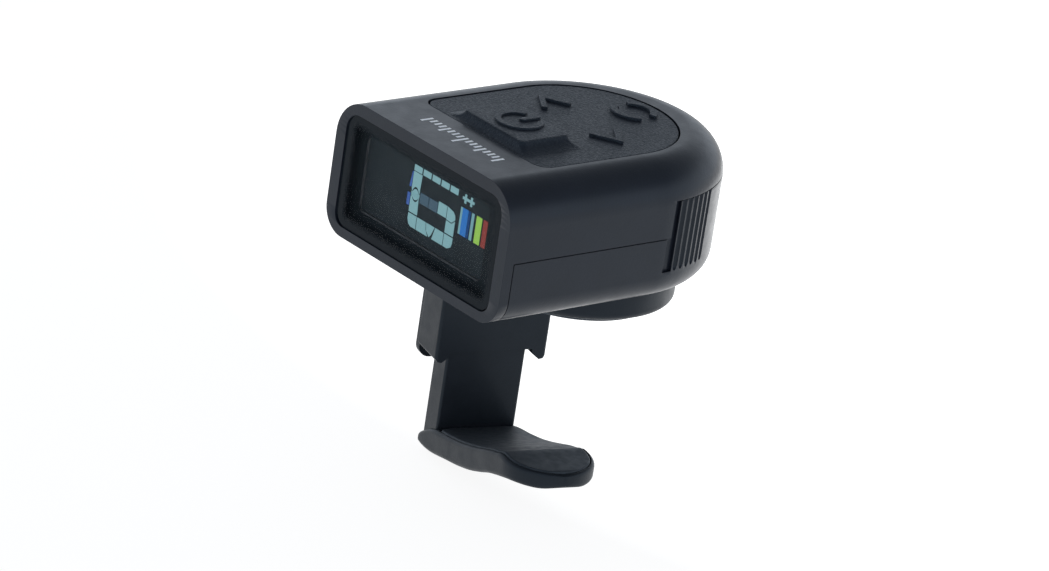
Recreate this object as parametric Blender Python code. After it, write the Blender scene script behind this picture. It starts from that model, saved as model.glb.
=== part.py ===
"""Clip-on headstock tuner.

A small head with a display in its flat front swivels on the disc of a ratchet clamp.  All lengths
below are in millimetres and become metres when a mesh is made.  The origin is the centre of the
upper jaw pad's gripping face, on the swivel axis: +Z is up through the head, the display faces -Y,
and the clamp is turned about Z from the head.
"""

from math import cos, pi, radians, sin, sqrt

import bmesh
import bpy
from mathutils import Vector

MM = 0.001

# Head, measured from its front face and its underside
HEAD_WIDTH = 27.0
HEAD_HEIGHT = 13.9
SIDE_LENGTH = 19.3
TAIL_DEPTH = 14.6
TOP_FILLET = 3.9
BOTTOM_FILLET = 2.7
WALL = 1.45
FLOOR = 1.2
SEAM = 0.15
BEZEL_DEPTH = 1.1
SEAM_HEIGHT = 6.65
GRIP_START = 20.5
GRIP_BOTTOM = 3.1
GRIP_RECESS_DEPTH = 0.45
GRIP_RECESS_END = 21.2
FLUTE_COUNT = 6
FLUTE_START = 9.4
FLUTE_STEP = 3.55
FLUTE_RADIUS = 0.34
FLUTE_LIFT = 0.02
RIM_HEIGHT = 10.45
WINDOW_WIDTH = 24.1
WINDOW_BOTTOM = 1.0
WINDOW_TOP = 12.65
WINDOW_RADIUS = 1.8

# Where the swivel axis stands in the head, and the head above the upper pad's face
SWIVEL_FROM_FRONT = 21.1
UNDERSIDE = 4.0

# Keypad
MAT_HALF_WIDTH = 9.3
MAT_FRONT = 6.5
MAT_REAR = 28.7
MAT_TOP = HEAD_HEIGHT - 0.05
KEY_BOTTOM = 12.2
KEY_GAP = 0.1
KEY_RADIUS = 3.0
MODE_KEY_RADIUS = 2.6
LEFT_KEY = (-5.0, 18.8)
RIGHT_KEY = (5.0, 18.8)
MODE_KEY = (0.0, 25.6)
POWER_KEY = (0.2, 10.8)
HUMP_HEIGHT = 0.95

# Inside the head
PCB_UNDERSIDE = 7.35
PCB_THICKNESS = 0.8
PCB_TOP = PCB_UNDERSIDE + PCB_THICKNESS
BOSS_SPOTS = ((-10.9, 9.0), (10.9, 9.0), (-10.9, 19.0), (10.9, 19.0))
CELL_CENTRE = 17.6
CELL_RADIUS = 10.0
CELL_BOTTOM = 1.45
CELL_THICKNESS = 3.2

# Clamp, heights from the upper pad's face; u runs from the sleeve to the jaw's tip, v across it
CLAMP_TURN = -15.0
DISC_RADIUS = 10.0
DISC_TOP = 3.4
DISC_BOTTOM = 0.7
PAD_RADIUS = 8.45
PAD_TOP = 1.15
SLEEVE_FACE = -15.15
SLEEVE_HALF_WIDTH = 6.15
SLEEVE_BACK = -19.85
SLEEVE_BOTTOM = -13.4
LEG_BOTTOM = -14.55
CHANNEL_FACE = -16.0
CHANNEL_BACK = -19.4
CHANNEL_HALF_WIDTH = 4.55
CHANNEL_TOP = 2.4
STEM_FACE = -16.15
STEM_BACK = -19.25
STEM_HALF_WIDTH = 4.35
STEM_TOP = -5.0
STEM_BOTTOM = -24.5
RACK_HALF_WIDTH = 3.0
RACK_DEPTH = 1.1
TOOTH_PITCH = 1.0
TOOTH_HEIGHT = 0.6
TOOTH_COUNT = 15
FOOT_HALF_WIDTH = 4.8
TIP_CENTRE = 0.35
LOWER_PAD_REAR = -15.8
LOWER_PAD_INSET = 0.45
LOWER_PAD_PROUD = 0.1
LOWER_PAD_THICKNESS = 0.9
LOWER_PAD_GAP = 0.15
LEVER_AXIS = (-20.45, 0.9)
LEVER_FACE = -20.0
LEVER_BACK = -20.9
LEVER_BOTTOM = -16.0
PIN_RADIUS = 0.5
SPRING_WIRE = 0.28
SPRING_RADIUS = 0.78
SPRING_TURNS = 3
SPRING_PITCH = 0.42

COLOURS = {
    "shell": ((0.022, 0.024, 0.030), 0.42, 0.0),
    "mat": ((0.020, 0.022, 0.027), 0.75, 0.0),
    "window": ((0.004, 0.004, 0.005), 0.06, 0.0),
    "lcd": ((0.03, 0.05, 0.06), 0.1, 0.0),
    "rubber": ((0.018, 0.019, 0.022), 0.8, 0.0),
    "clamp": ((0.024, 0.026, 0.031), 0.5, 0.0),
    "pcb": ((0.01, 0.12, 0.05), 0.5, 0.0),
    "chip": ((0.01, 0.01, 0.01), 0.5, 0.0),
    "steel": ((0.6, 0.6, 0.62), 0.3, 1.0),
    "brass": ((0.7, 0.5, 0.2), 0.35, 1.0),
    "ceramic": ((0.8, 0.8, 0.78), 0.5, 0.0),
    "nylon": ((0.75, 0.75, 0.7), 0.5, 0.0),
    "clear": ((0.8, 0.85, 0.85), 0.15, 0.0),
    "flex": ((0.6, 0.3, 0.05), 0.4, 0.0),
}


def behind(distance):
    """Head-frame y of a point this far behind the front face."""
    return distance - SWIVEL_FROM_FRONT


def material(name):
    found = bpy.data.materials.get(name)
    if found:
        return found
    colour, roughness, metallic = COLOURS[name]
    made = bpy.data.materials.new(name)
    made.use_nodes = True
    shader = made.node_tree.nodes["Principled BSDF"]
    shader.inputs["Base Color"].default_value = (*colour, 1.0)
    shader.inputs["Roughness"].default_value = roughness
    shader.inputs["Metallic"].default_value = metallic
    return made


def empty(name, place, turn=0.0, parent=None):
    """An empty at a place in millimetres, turned about Z by degrees."""
    made = bpy.data.objects.new(name, None)
    made.location = Vector(place) * MM
    made.rotation_euler = (0.0, 0.0, radians(turn))
    made.parent = parent
    bpy.context.scene.collection.objects.link(made)
    return made


def solid(name, finish, points, faces, parent=None, place=(0.0, 0.0, 0.0)):
    """One closed mesh object; points are in millimetres from place."""
    bm = bmesh.new()
    verts = [bm.verts.new(Vector(p) * MM) for p in points]
    for face in faces:
        bm.faces.new([verts[i] for i in face])
    bmesh.ops.recalc_face_normals(bm, faces=bm.faces)
    mesh = bpy.data.meshes.new(name)
    bm.to_mesh(mesh)
    bm.free()
    mesh.shade_smooth()
    mesh.set_sharp_from_angle(angle=radians(32))
    mesh.materials.append(material(finish))
    made = bpy.data.objects.new(name, mesh)
    made.location = Vector(place) * MM
    made.parent = parent
    bpy.context.scene.collection.objects.link(made)
    return made


def loft(name, finish, rings, parent=None, place=(0.0, 0.0, 0.0)):
    """Skin rings of equal length and close both ends."""
    count = len(rings[0])
    points = [p for ring in rings for p in ring]
    faces = [tuple(range(count)), tuple((len(rings) - 1) * count + i for i in range(count))]
    for level in range(len(rings) - 1):
        low = level * count
        for i in range(count):
            j = (i + 1) % count
            faces.append((low + i, low + j, low + count + j, low + count + i))
    return solid(name, finish, points, faces, parent, place)


def prism(name, finish, outline, low, high, axis="z", parent=None, place=(0.0, 0.0, 0.0)):
    """Extrude a flat outline along an axis; x takes (y, z) pairs and y takes (x, z) pairs."""
    put = {
        "x": lambda a, b, t: (t, a, b),
        "y": lambda a, b, t: (a, t, b),
        "z": lambda a, b, t: (a, b, t),
    }[axis]
    rings = [[put(a, b, t) for a, b in outline] for t in (low, high)]
    return loft(name, finish, rings, parent, place)


def box(name, finish, low, high, parent=None):
    outline = [(low[0], low[1]), (high[0], low[1]), (high[0], high[1]), (low[0], high[1])]
    return prism(name, finish, outline, low[2], high[2], "z", parent)


def arc(centre, radius, start, end, steps):
    """Points of an arc, in degrees; radius may be a pair for an ellipse."""
    across, along = radius if isinstance(radius, tuple) else (radius, radius)
    angles = [radians(start + (end - start) * i / steps) for i in range(steps + 1)]
    return [(centre[0] + across * cos(a), centre[1] + along * sin(a)) for a in angles]


def circle(radius, steps=24, centre=(0.0, 0.0)):
    return arc(centre, radius, 0.0, 360.0, steps)[:-1]


def rounded_rect(left, right, bottom, top, radius, steps=4):
    corners = (
        (right - radius, bottom + radius, -90.0),
        (right - radius, top - radius, 0.0),
        (left + radius, top - radius, 90.0),
        (left + radius, bottom + radius, 180.0),
    )
    return [p for x, y, start in corners for p in arc((x, y), radius, start, start + 90.0, steps)]


def disc(name, finish, radius, low, high, parent=None, centre=(0.0, 0.0), steps=24, edge=0.0):
    """A round plate; edge is the chamfer round its lower rim."""
    levels = [(radius, low), (radius, high)]
    if edge:
        levels = [(radius - edge, low), (radius, low + edge), (radius, high)]
    rings = [[(x, y, z) for x, y in circle(r, steps)] for r, z in levels]
    return loft(name, finish, rings, parent, (centre[0], centre[1], 0.0))


def guide(shape):
    """Mark a shape as a cutter or an addition, which isn't a piece itself."""
    shape.hide_render = True
    shape.display_type = "WIRE"
    return shape


def combine(target, operation, *shapes):
    for shape in shapes:
        step = target.modifiers.new(shape.name, "BOOLEAN")
        step.operation = operation
        step.solver = "EXACT"
        step.object = guide(shape)


def cut(target, *shapes):
    combine(target, "DIFFERENCE", *shapes)


def fuse(target, *shapes):
    combine(target, "UNION", *shapes)


def tail_outline(half_width, front, tail_depth, steps):
    """The head's plan: a flat front, straight sides and half an ellipse behind."""
    tail = arc((0.0, behind(SIDE_LENGTH)), (half_width, tail_depth), 0.0, 180.0, steps)
    return [(-half_width, front), (half_width, front)] + tail


def head_body(name, finish, inset, low, high, bottom_fillet, top_fillet, front, parent, steps=22):
    """The head's form, drawn in by inset, with its long edges rolled over."""
    levels = []
    for i in range(4):
        lean = radians(90.0 * i / 4)
        levels.append((bottom_fillet * (1 - sin(lean)), low + bottom_fillet * (1 - cos(lean))))
    levels.append((0.0, low + bottom_fillet))
    for i in range(6):
        lean = radians(90.0 * i / 5)
        levels.append((top_fillet * (1 - cos(lean)), high - top_fillet * (1 - sin(lean))))
    half_width = HEAD_WIDTH / 2 - inset
    depth = TAIL_DEPTH - inset
    rings = [
        [(x, y, z) for x, y in tail_outline(half_width - d, front, depth - d, steps)]
        for d, z in levels
    ]
    return loft(name, finish, rings, parent)


def full_head(name, finish, parent):
    return head_body(name, finish, 0.0, 0.0, HEAD_HEIGHT, BOTTOM_FILLET, TOP_FILLET, behind(0.0), parent)


def cavity(name, floor, parent):
    inner_top = HEAD_HEIGHT - WALL
    return head_body(name, "shell", WALL, floor, inner_top, 1.3, 2.4, behind(-1.0), parent, 18)


def seam_block(name, parent):
    """All that lies below the seam: behind the bezel, under the sides and under the tail's rim."""
    front = behind(BEZEL_DEPTH)
    grip = behind(GRIP_START)
    rear = behind(SIDE_LENGTH + TAIL_DEPTH + 5.0)
    outline = [
        (front, -2.0),
        (rear, -2.0),
        (rear, RIM_HEIGHT),
        (grip, RIM_HEIGHT),
        (grip, SEAM_HEIGHT),
        (front, SEAM_HEIGHT),
    ]
    return prism(name, "shell", outline, -20.0, 20.0, "x", parent)


def mat_outline(grow):
    """The keypad's plan: rounded front corners, straight sides and a bowed rear edge."""
    half = MAT_HALF_WIDTH + grow
    front = behind(MAT_FRONT) - grow
    shoulder = behind(19.5)
    corner = 1.6
    left = arc((-half + corner, front + corner), corner, 180.0, 270.0, 4)
    right = arc((half - corner, front + corner), corner, 270.0, 360.0, 4)
    rear = arc((0.0, shoulder), (half, behind(MAT_REAR) - shoulder + grow), 0.0, 180.0, 14)
    return left + right + rear


def make_upper_shell(head):
    shell = full_head("upper_shell", "shell", head)
    opening = prism(
        "window_cutter",
        "shell",
        rounded_rect(-WINDOW_WIDTH / 2, WINDOW_WIDTH / 2, WINDOW_BOTTOM, WINDOW_TOP, WINDOW_RADIUS),
        behind(-1.0),
        behind(1.6),
        "y",
        head,
    )
    mat_hole = prism("mat_cutter", "shell", mat_outline(0.0), 11.0, 16.0, "z", head)
    cut(shell, cavity("upper_cavity_cutter", WINDOW_BOTTOM, head), opening, seam_block("tray_cutter", head))
    for number, (x, y) in enumerate(BOSS_SPOTS, 1):
        boss = disc(f"boss_{number}_guide", "shell", 1.25, PCB_TOP + 0.1, 12.9, head, (x, behind(y)), 14)
        fuse(shell, boss)
    cut(shell, mat_hole)
    for number, (x, y) in enumerate(BOSS_SPOTS, 1):
        cut(shell, disc(f"pilot_{number}_cutter", "shell", 0.72, PCB_TOP - 1, 11.4, head, (x, behind(y)), 10))
    return shell


def rib_cutters(name, side, head):
    """Upright flutes round one side of the tail, which leave the grip's ribs between them."""
    points = []
    faces = []
    steps = 6
    for i in range(FLUTE_COUNT):
        turn = radians(FLUTE_START + FLUTE_STEP * i)
        x = side * (HEAD_WIDTH / 2 + FLUTE_LIFT) * cos(turn)
        y = behind(SIDE_LENGTH) + (TAIL_DEPTH + FLUTE_LIFT) * sin(turn)
        base = len(points)
        for z in (GRIP_BOTTOM + 0.2, RIM_HEIGHT + 0.5):
            points += [(x + px, y + py, z) for px, py in circle(FLUTE_RADIUS, steps)]
        faces.append(tuple(base + k for k in range(steps)))
        faces.append(tuple(base + steps + k for k in range(steps)))
        for k in range(steps):
            m = (k + 1) % steps
            faces.append((base + k, base + m, base + steps + m, base + steps + k))
    return solid(name, "shell", points, faces, head)


def make_lower_shell(head):
    shell = full_head("lower_shell", "shell", head)
    front = behind(BEZEL_DEPTH) + SEAM
    keep_out = [
        (behind(-3.0), -2.0),
        (front, -2.0),
        (front, SEAM_HEIGHT - SEAM),
        (behind(GRIP_START) + SEAM, SEAM_HEIGHT - SEAM),
        (behind(GRIP_START) + SEAM, RIM_HEIGHT - SEAM),
        (behind(SIDE_LENGTH + TAIL_DEPTH + 5.0), RIM_HEIGHT - SEAM),
        (behind(SIDE_LENGTH + TAIL_DEPTH + 5.0), 20.0),
        (behind(-3.0), 20.0),
    ]
    housing_room = prism("housing_cutter", "shell", keep_out, -20, 20, "x", head)
    cut(shell, cavity("tray_cavity_cutter", FLOOR, head), housing_room)
    for side, word in ((-1, "left"), (1, "right")):
        recess_low, recess_high = sorted(
            (side * (HEAD_WIDTH / 2 - GRIP_RECESS_DEPTH), side * (HEAD_WIDTH / 2 + 2))
        )
        recess = box(
            f"recess_{word}_cutter",
            "shell",
            (recess_low, behind(GRIP_START - 0.5), GRIP_BOTTOM),
            (recess_high, behind(GRIP_RECESS_END), RIM_HEIGHT + 1),
            head,
        )
        cut(shell, recess, rib_cutters(f"ribs_{word}_cutter", side, head))
    fuse(shell, disc("swivel_boss_guide", "shell", 2.8, -1.35, 0.6, head))
    centre = (0.0, behind(CELL_CENTRE))
    outside = arc(centre, 10.85, -50.0, 230.0, 28)
    inside = arc(centre, 10.25, 230.0, -50.0, 28)
    fuse(shell, prism("cell_wall_guide", "shell", outside + inside, 0.8, 3.6, "z", head))
    cut(shell, disc("screw_hole_cutter", "shell", 1.0, -2.0, 0.8, head, steps=12))
    return shell


def make_window(head):
    outline = rounded_rect(
        -WINDOW_WIDTH / 2 + 0.12,
        WINDOW_WIDTH / 2 - 0.12,
        WINDOW_BOTTOM + 0.12,
        WINDOW_TOP - 0.12,
        WINDOW_RADIUS - 0.12,
    )
    prism("display_window", "window", outline, behind(0.15), behind(1.1), "y", head)


def frame_ring(name, finish, outer, inner, front, rear, head):
    """A flat upright frame; outer and inner are (half width, bottom, top)."""
    outline = rounded_rect(-outer[0], outer[0], outer[1], outer[2], 0.8, 2)
    plate = prism(name, finish, outline, behind(front), behind(rear), "y", head)
    hole = prism(
        f"{name}_cutter",
        finish,
        [(-inner[0], inner[1]), (inner[0], inner[1]), (inner[0], inner[2]), (-inner[0], inner[2])],
        behind(front - 0.5),
        behind(rear + 0.5),
        "y",
        head,
    )
    cut(plate, hole)


def make_display(head):
    frame_ring("lcd_gasket", "rubber", (11.3, 1.8, 11.9), (10.2, 3.0, 11.3), 1.5, 1.8, head)
    frame_ring("lcd_frame", "nylon", (11.3, 1.8, 12.0), (10.75, 2.6, 11.75), 1.95, 4.9, head)
    box("lcd_panel", "lcd", (-10.6, behind(2.0), 2.75), (10.6, behind(3.4), 11.6), head)
    box("light_guide", "clear", (-8.9, behind(3.6), 2.75), (10.6, behind(4.7), 11.6), head)
    box("backlight_led", "ceramic", (-10.5, behind(3.65), 5.2), (-9.1, behind(4.65), 9.0), head)
    path = [(5.1, 2.9), (5.25, 2.9), (5.25, 6.95), (8.4, 6.95), (8.4, 7.1), (5.1, 7.1)]
    prism("lcd_flex", "flex", [(behind(y), z) for y, z in path], -6.0, 6.0, "x", head)


def key_column(name, radius, low, high, head, place, steps):
    """A round column about a key's own axis."""
    rings = [[(a, b, z) for a, b in circle(radius, steps)] for z in (low, high)]
    return loft(name, "mat", rings, head, place)


def make_keys(head):
    """Each key stands on its own axis and carries a plunger that meets its switch."""
    mat = prism("keypad_mat", "mat", mat_outline(-0.12), 12.6, MAT_TOP, "z", head)
    flange = prism("mat_flange_guide", "mat", mat_outline(0.2), 11.85, 12.3, "z", head)
    neck = prism("mat_neck_guide", "mat", mat_outline(-0.5), 12.1, 12.8, "z", head)
    fuse(mat, neck, flange)
    for name, (x, y), radius, raised in (
        ("left_key", LEFT_KEY, KEY_RADIUS, chevron(-1)),
        ("right_key", RIGHT_KEY, KEY_RADIUS, chevron(1)),
        ("mode_key", MODE_KEY, MODE_KEY_RADIUS, None),
    ):
        place = (x, behind(y), 0.0)
        cut(mat, disc(f"{name}_hole_cutter", "mat", radius + KEY_GAP, 10, 16, head, place[:2], 24))
        key = key_column(name, radius, KEY_BOTTOM, MAT_TOP, head, place, 24)
        if raised:
            mark = prism(f"{name}_mark_guide", "mat", raised, MAT_TOP - 0.3, MAT_TOP + 0.3, "z", head, place)
            fuse(key, mark)
        else:
            for start in (20.0, 200.0):
                sweep = arc((0, 0), 2.2, start, start + 130, 7) + arc((0, 0), 1.55, start + 130, start, 7)
                label = f"mode_arc_{start:.0f}_guide"
                fuse(key, prism(label, "mat", sweep, MAT_TOP - 0.3, MAT_TOP + 0.3, "z", head, place))
        fuse(key, key_column(f"{name}_plunger_guide", 1.1, 11.35, 12.4, head, place, 10))
    make_power_key(mat, head)


def chevron(side):
    """An arrow head pointing along side, about the key's centre."""
    tip, arm, rise, thick = 1.45, 1.45, 1.85, 0.65
    return [
        (side * tip, 0.0),
        (-side * arm, rise),
        (-side * (arm + 0.1), rise - thick),
        (side * (tip - 1.25), 0.0),
        (-side * (arm + 0.1), -rise + thick),
        (-side * arm, -rise),
    ]


def make_power_key(mat, head):
    """A raised pad with a flat crown; its flanks run down to the mat on every side."""
    x, y = POWER_KEY
    place = (x, behind(y), 0.0)
    hole = rounded_rect(-6.2, 6.2, -3.85, 3.6, 0.6, 2)
    cut(mat, prism("power_hole_cutter", "mat", hole, 10, 16, "z", head, place))
    crown = MAT_TOP + HUMP_HEIGHT
    levels = (
        (6.1, -3.75, 3.5, KEY_BOTTOM),
        (6.1, -3.75, 3.5, MAT_TOP),
        (5.2, -3.35, 3.0, MAT_TOP + 0.3),
        (4.6, -3.0, 2.75, crown),
    )
    rings = [[(a, b, z) for a, b in rounded_rect(-w, w, f, r, 0.5, 2)] for w, f, r, z in levels]
    key = loft("power_key", "mat", rings, head, place)
    fuse(key, key_column("power_plunger_guide", 1.1, 11.6, 12.4, head, place, 10))


def make_board(head):
    half, tail = 11.4, 12.4
    plan = tail_outline(half, behind(5.7), tail, 16)
    board = prism("main_pcb", "pcb", plan, PCB_UNDERSIDE, PCB_TOP, "z", head)
    for number, (x, y) in enumerate(BOSS_SPOTS, 1):
        cut(board, disc(f"pcb_hole_{number}_cutter", "pcb", 0.75, 6, 10, head, (x, behind(y)), 10))
        screw = disc(f"pcb_screw_{number}", "steel", 1.1, 6.55, 7.2, head, (x, behind(y)), 12)
        shank = disc(f"pcb_shank_{number}_guide", "steel", 0.55, 7.1, 10.8, head, (x, behind(y)), 8)
        slot_low = (x - 1.5, behind(y) - 0.18, 6.0)
        slot_high = (x + 1.5, behind(y) + 0.18, 6.85)
        slot = box(f"pcb_slot_{number}_cutter", "steel", slot_low, slot_high, head)
        fuse(screw, shank)
        cut(screw, slot)
    for name, (x, y) in (("power", POWER_KEY), ("left", LEFT_KEY), ("right", RIGHT_KEY), ("mode", MODE_KEY)):
        base = behind(y)
        switch_low = (x - 1.6, base - 1.6, PCB_TOP + 0.1)
        switch_high = (x + 1.6, base + 1.6, 10.2)
        switch = box(f"{name}_switch", "chip", switch_low, switch_high, head)
        fuse(switch, disc(f"{name}_actuator_guide", "steel", 0.8, 10.0, 10.85, head, (x, base), 12))
    low = PCB_TOP + 0.1
    box("mcu_chip", "chip", (-2.5, behind(15.4), low), (2.5, behind(20.4), low + 0.9), head)
    box("amplifier_chip", "chip", (5.0, behind(24.0), low), (8.0, behind(26.5), low + 0.9), head)
    box("crystal_can", "steel", (-8.4, behind(12.0), low), (-5.2, behind(13.5), low + 0.8), head)
    box("filter_capacitor", "ceramic", (5.4, behind(12.0), low), (7.4, behind(13.2), low + 0.9), head)
    box("supply_capacitor", "ceramic", (-7.6, behind(23.6), low), (-5.6, behind(24.9), low + 0.9), head)
    centre = (0.0, behind(13.6))
    disc("piezo_plate", "brass", 4.6, 6.85, 7.1, head, centre, 24)
    disc("piezo_ceramic", "ceramic", 3.3, 6.5, 6.75, head, centre, 20)


def make_battery(head):
    centre = (0, behind(CELL_CENTRE))
    cell = disc("coin_cell", "steel", CELL_RADIUS, CELL_BOTTOM, CELL_BOTTOM + 2.8, head, centre, 36, 0.25)
    cap_top = CELL_BOTTOM + CELL_THICKNESS
    cap = disc("cell_cap_guide", "steel", 8.8, CELL_BOTTOM + 2.5, cap_top, head, centre, 32)
    fuse(cell, cap)
    leaf = [
        (28.2, 7.2),
        (28.2, 7.0),
        (24.2, 7.0),
        (20.2, 5.1),
        (19.0, 5.5),
        (19.0, 5.3),
        (20.2, 4.85),
        (24.3, 6.75),
        (28.4, 6.75),
        (28.4, 7.2),
    ]
    prism("battery_contact_negative", "brass", [(behind(y), z) for y, z in leaf], -2.0, 2.0, "x", head)
    post = [
        (6.4, 7.2),
        (6.4, 4.0),
        (7.0, 3.2),
        (7.3, 3.2),
        (6.65, 4.1),
        (6.65, 6.95),
        (8.4, 6.95),
        (8.4, 7.2),
    ]
    prism("battery_contact_positive", "brass", [(behind(y), z) for y, z in post], 7.0, 9.0, "x", head)


def make_swivel(head):
    low = 2.25 - UNDERSIDE
    ring = disc("friction_ring", "nylon", 8.0, -0.46, -0.12, head, steps=28)
    cut(ring, disc("friction_ring_cutter", "nylon", 5.5, -2, 1, head, steps=24))
    washer = disc("swivel_washer", "steel", 4.4, low, low + 0.3, head, steps=24)
    cut(washer, disc("washer_cutter", "steel", 1.15, low - 1, low + 1, head, steps=12))
    screw = disc("swivel_screw", "steel", 2.2, low - 0.7, low - 0.1, head, steps=20)
    fuse(screw, disc("swivel_shank_guide", "steel", 0.85, low - 0.2, 0.55, head, steps=12))
    for name, size in (("slot_a", (1.5, 0.2)), ("slot_b", (0.2, 1.5))):
        slot_low = (-size[0], -size[1], low - 1)
        cut(screw, box(f"{name}_cutter", "steel", slot_low, (size[0], size[1], low - 0.45), head))


def make_clamp_frame(clamp):
    """Disc, arm and sleeve, moulded in one."""
    frame = disc("clamp_frame", "clamp", DISC_RADIUS, DISC_BOTTOM, DISC_TOP, clamp, steps=48, edge=0.45)
    half = SLEEVE_HALF_WIDTH
    arm_low = (SLEEVE_FACE - 0.5, -half + 0.4, DISC_BOTTOM + 0.3)
    arm = box("arm_guide", "clamp", arm_low, (-5.0, half - 0.4, DISC_TOP), clamp)
    sleeve_plan = rounded_rect(SLEEVE_BACK, SLEEVE_FACE, -half, half, 0.3, 2)
    sleeve = prism("sleeve_guide", "clamp", sleeve_plan, LEG_BOTTOM, DISC_TOP, "z", clamp)
    gusset_side = [
        (SLEEVE_FACE - 0.4, DISC_BOTTOM + 1),
        (SLEEVE_FACE - 0.4, -3.0),
        (SLEEVE_FACE + 1.8, DISC_BOTTOM + 0.35),
        (-9.0, DISC_BOTTOM + 0.35),
        (-9.0, DISC_BOTTOM + 1),
    ]
    gusset = prism("gusset_guide", "clamp", gusset_side, -3.5, 3.5, "y", clamp)
    fuse(frame, arm, sleeve, gusset)
    for side, word in ((-1, "left"), (1, "right")):
        low, high = sorted((side * 4.8, side * half))
        ear = [(-18.5, -1.0), (-20.9, -1.0), (-21.4, -0.4), (-21.4, 2.0), (-20.9, 2.8), (-18.5, 2.8)]
        fuse(frame, prism(f"ear_{word}_guide", "clamp", ear, low, high, "y", clamp))
    channel_high = (CHANNEL_FACE, CHANNEL_HALF_WIDTH, CHANNEL_TOP)
    channel = box("channel_cutter", "clamp", (CHANNEL_BACK, -CHANNEL_HALF_WIDTH, -30), channel_high, clamp)
    slot = box("pawl_slot_cutter", "clamp", (-25.0, -2.9, -30), (CHANNEL_BACK + 0.5, 2.9, CHANNEL_TOP), clamp)
    head_room = box("barrel_cutter", "clamp", (-25.0, -4.8, -2.0), (CHANNEL_BACK + 0.2, 4.8, 6.0), clamp)
    pin_hole = prism("pin_hole_cutter", "clamp", circle(PIN_RADIUS + 0.08, 12, LEVER_AXIS), -8, 8, "y", clamp)
    edge_low = (CHANNEL_FACE - 0.3, -CHANNEL_HALF_WIDTH, -30)
    edge_high = (SLEEVE_FACE + 1, CHANNEL_HALF_WIDTH, SLEEVE_BOTTOM)
    front_edge = box("front_edge_cutter", "clamp", edge_low, edge_high, clamp)
    cut(frame, channel, slot, head_room, pin_hole, front_edge)
    for side, word in ((-1, "left"), (1, "right")):
        inner, outer = side * (CHANNEL_HALF_WIDTH - 0.6), side * (half + 1)
        outline = [
            (inner, LEG_BOTTOM - 1),
            (inner, SLEEVE_BOTTOM),
            (side * (half - 0.75), LEG_BOTTOM),
            (outer, LEG_BOTTOM - 0.4),
            (outer, LEG_BOTTOM - 1),
        ]
        cut(frame, prism(f"leg_{word}_cutter", "clamp", outline, -25, 0, "x", clamp))
    recess = disc("pad_recess_cutter", "clamp", PAD_RADIUS + 0.12, -1, PAD_TOP + 0.1, clamp, steps=40)
    counterbore = disc("washer_recess_cutter", "clamp", 4.7, -1, 2.75, clamp, steps=24)
    bore = disc("bore_cutter", "clamp", 3.0, -1, 6, clamp, steps=24)
    cut(frame, recess, counterbore, bore)
    return frame


def make_clamp_parts(clamp):
    pad_rings = ((PAD_RADIUS - 0.5, 0.0), (PAD_RADIUS, 0.4), (PAD_RADIUS, PAD_TOP))
    loft("upper_pad", "rubber", [[(x, y, z) for x, y in circle(r, 40)] for r, z in pad_rings], clamp)
    prism("lever_pin", "steel", circle(PIN_RADIUS, 12, LEVER_AXIS), -5.9, 5.9, "y", clamp)


def make_release_lever(hinge):
    """Back plate of the sleeve, hung on its pin, with the pawl on its inner face."""
    u0, w0 = LEVER_AXIS
    face, back = LEVER_FACE - u0, LEVER_BACK - u0
    top, bottom = -w0 - 1.35, LEVER_BOTTOM - w0
    half = SLEEVE_HALF_WIDTH - 0.4
    plate_outline = [(-half, top), (-half, bottom + 1.2)]
    plate_outline += arc((-half + 1.2, bottom + 1.2), 1.2, 180.0, 270.0, 4)[1:]
    plate_outline += arc((half - 1.2, bottom + 1.2), 1.2, 270.0, 360.0, 4)
    plate_outline += [(half, top)]
    lever = prism("release_lever", "clamp", plate_outline, back, face, "x", hinge)
    neck = box("lever_neck_guide", "clamp", (back, -4.5, top - 0.5), (face, 4.5, 0.3), hinge)
    barrel = prism("barrel_guide", "clamp", circle(0.92, 16), -4.5, 4.5, "y", hinge)
    pawl_side = [(face - 0.3, -8.1), (-18.95 - u0, -8.3), (face - 0.3, -9.9)]
    pawl = prism("pawl_guide", "clamp", pawl_side, -2.3, 2.3, "y", hinge)
    fuse(lever, neck, barrel, pawl)
    for i in range(3):
        z = bottom + 1.0 + i * 0.9
        rib = [(back + 0.2, z), (back - 0.22, z + 0.12), (back - 0.22, z + 0.33), (back + 0.2, z + 0.45)]
        fuse(lever, prism(f"grip_rib_{i + 1}_guide", "clamp", rib, -4.2, 4.2, "y", hinge))
    spring_room = box("spring_room_cutter", "clamp", (-2, -1.5, -1.6), (2, 1.5, 2), hinge)
    bore = prism("lever_bore_cutter", "clamp", circle(PIN_RADIUS + 0.08, 12), -8, 8, "y", hinge)
    cut(lever, spring_room, bore)


def make_lever_spring(clamp):
    """Torsion spring: three turns round the pin, between the lever's two knuckles."""
    per_turn = 12
    across = Vector((0.0, 1.0, 0.0))
    axis = Vector((LEVER_AXIS[0], 0.0, LEVER_AXIS[1]))
    rings = []
    for i in range(SPRING_TURNS * per_turn + 1):
        turn = 2 * pi * i / per_turn
        outward = Vector((sin(turn), 0.0, cos(turn)))
        along = SPRING_PITCH * (i / per_turn - SPRING_TURNS / 2)
        centre = axis + SPRING_RADIUS * outward + along * across
        section = circle(SPRING_WIRE / 2, 5)
        rings.append([tuple(centre + a * outward + b * across) for a, b in section])
    loft("lever_spring", "steel", rings, clamp)


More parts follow.
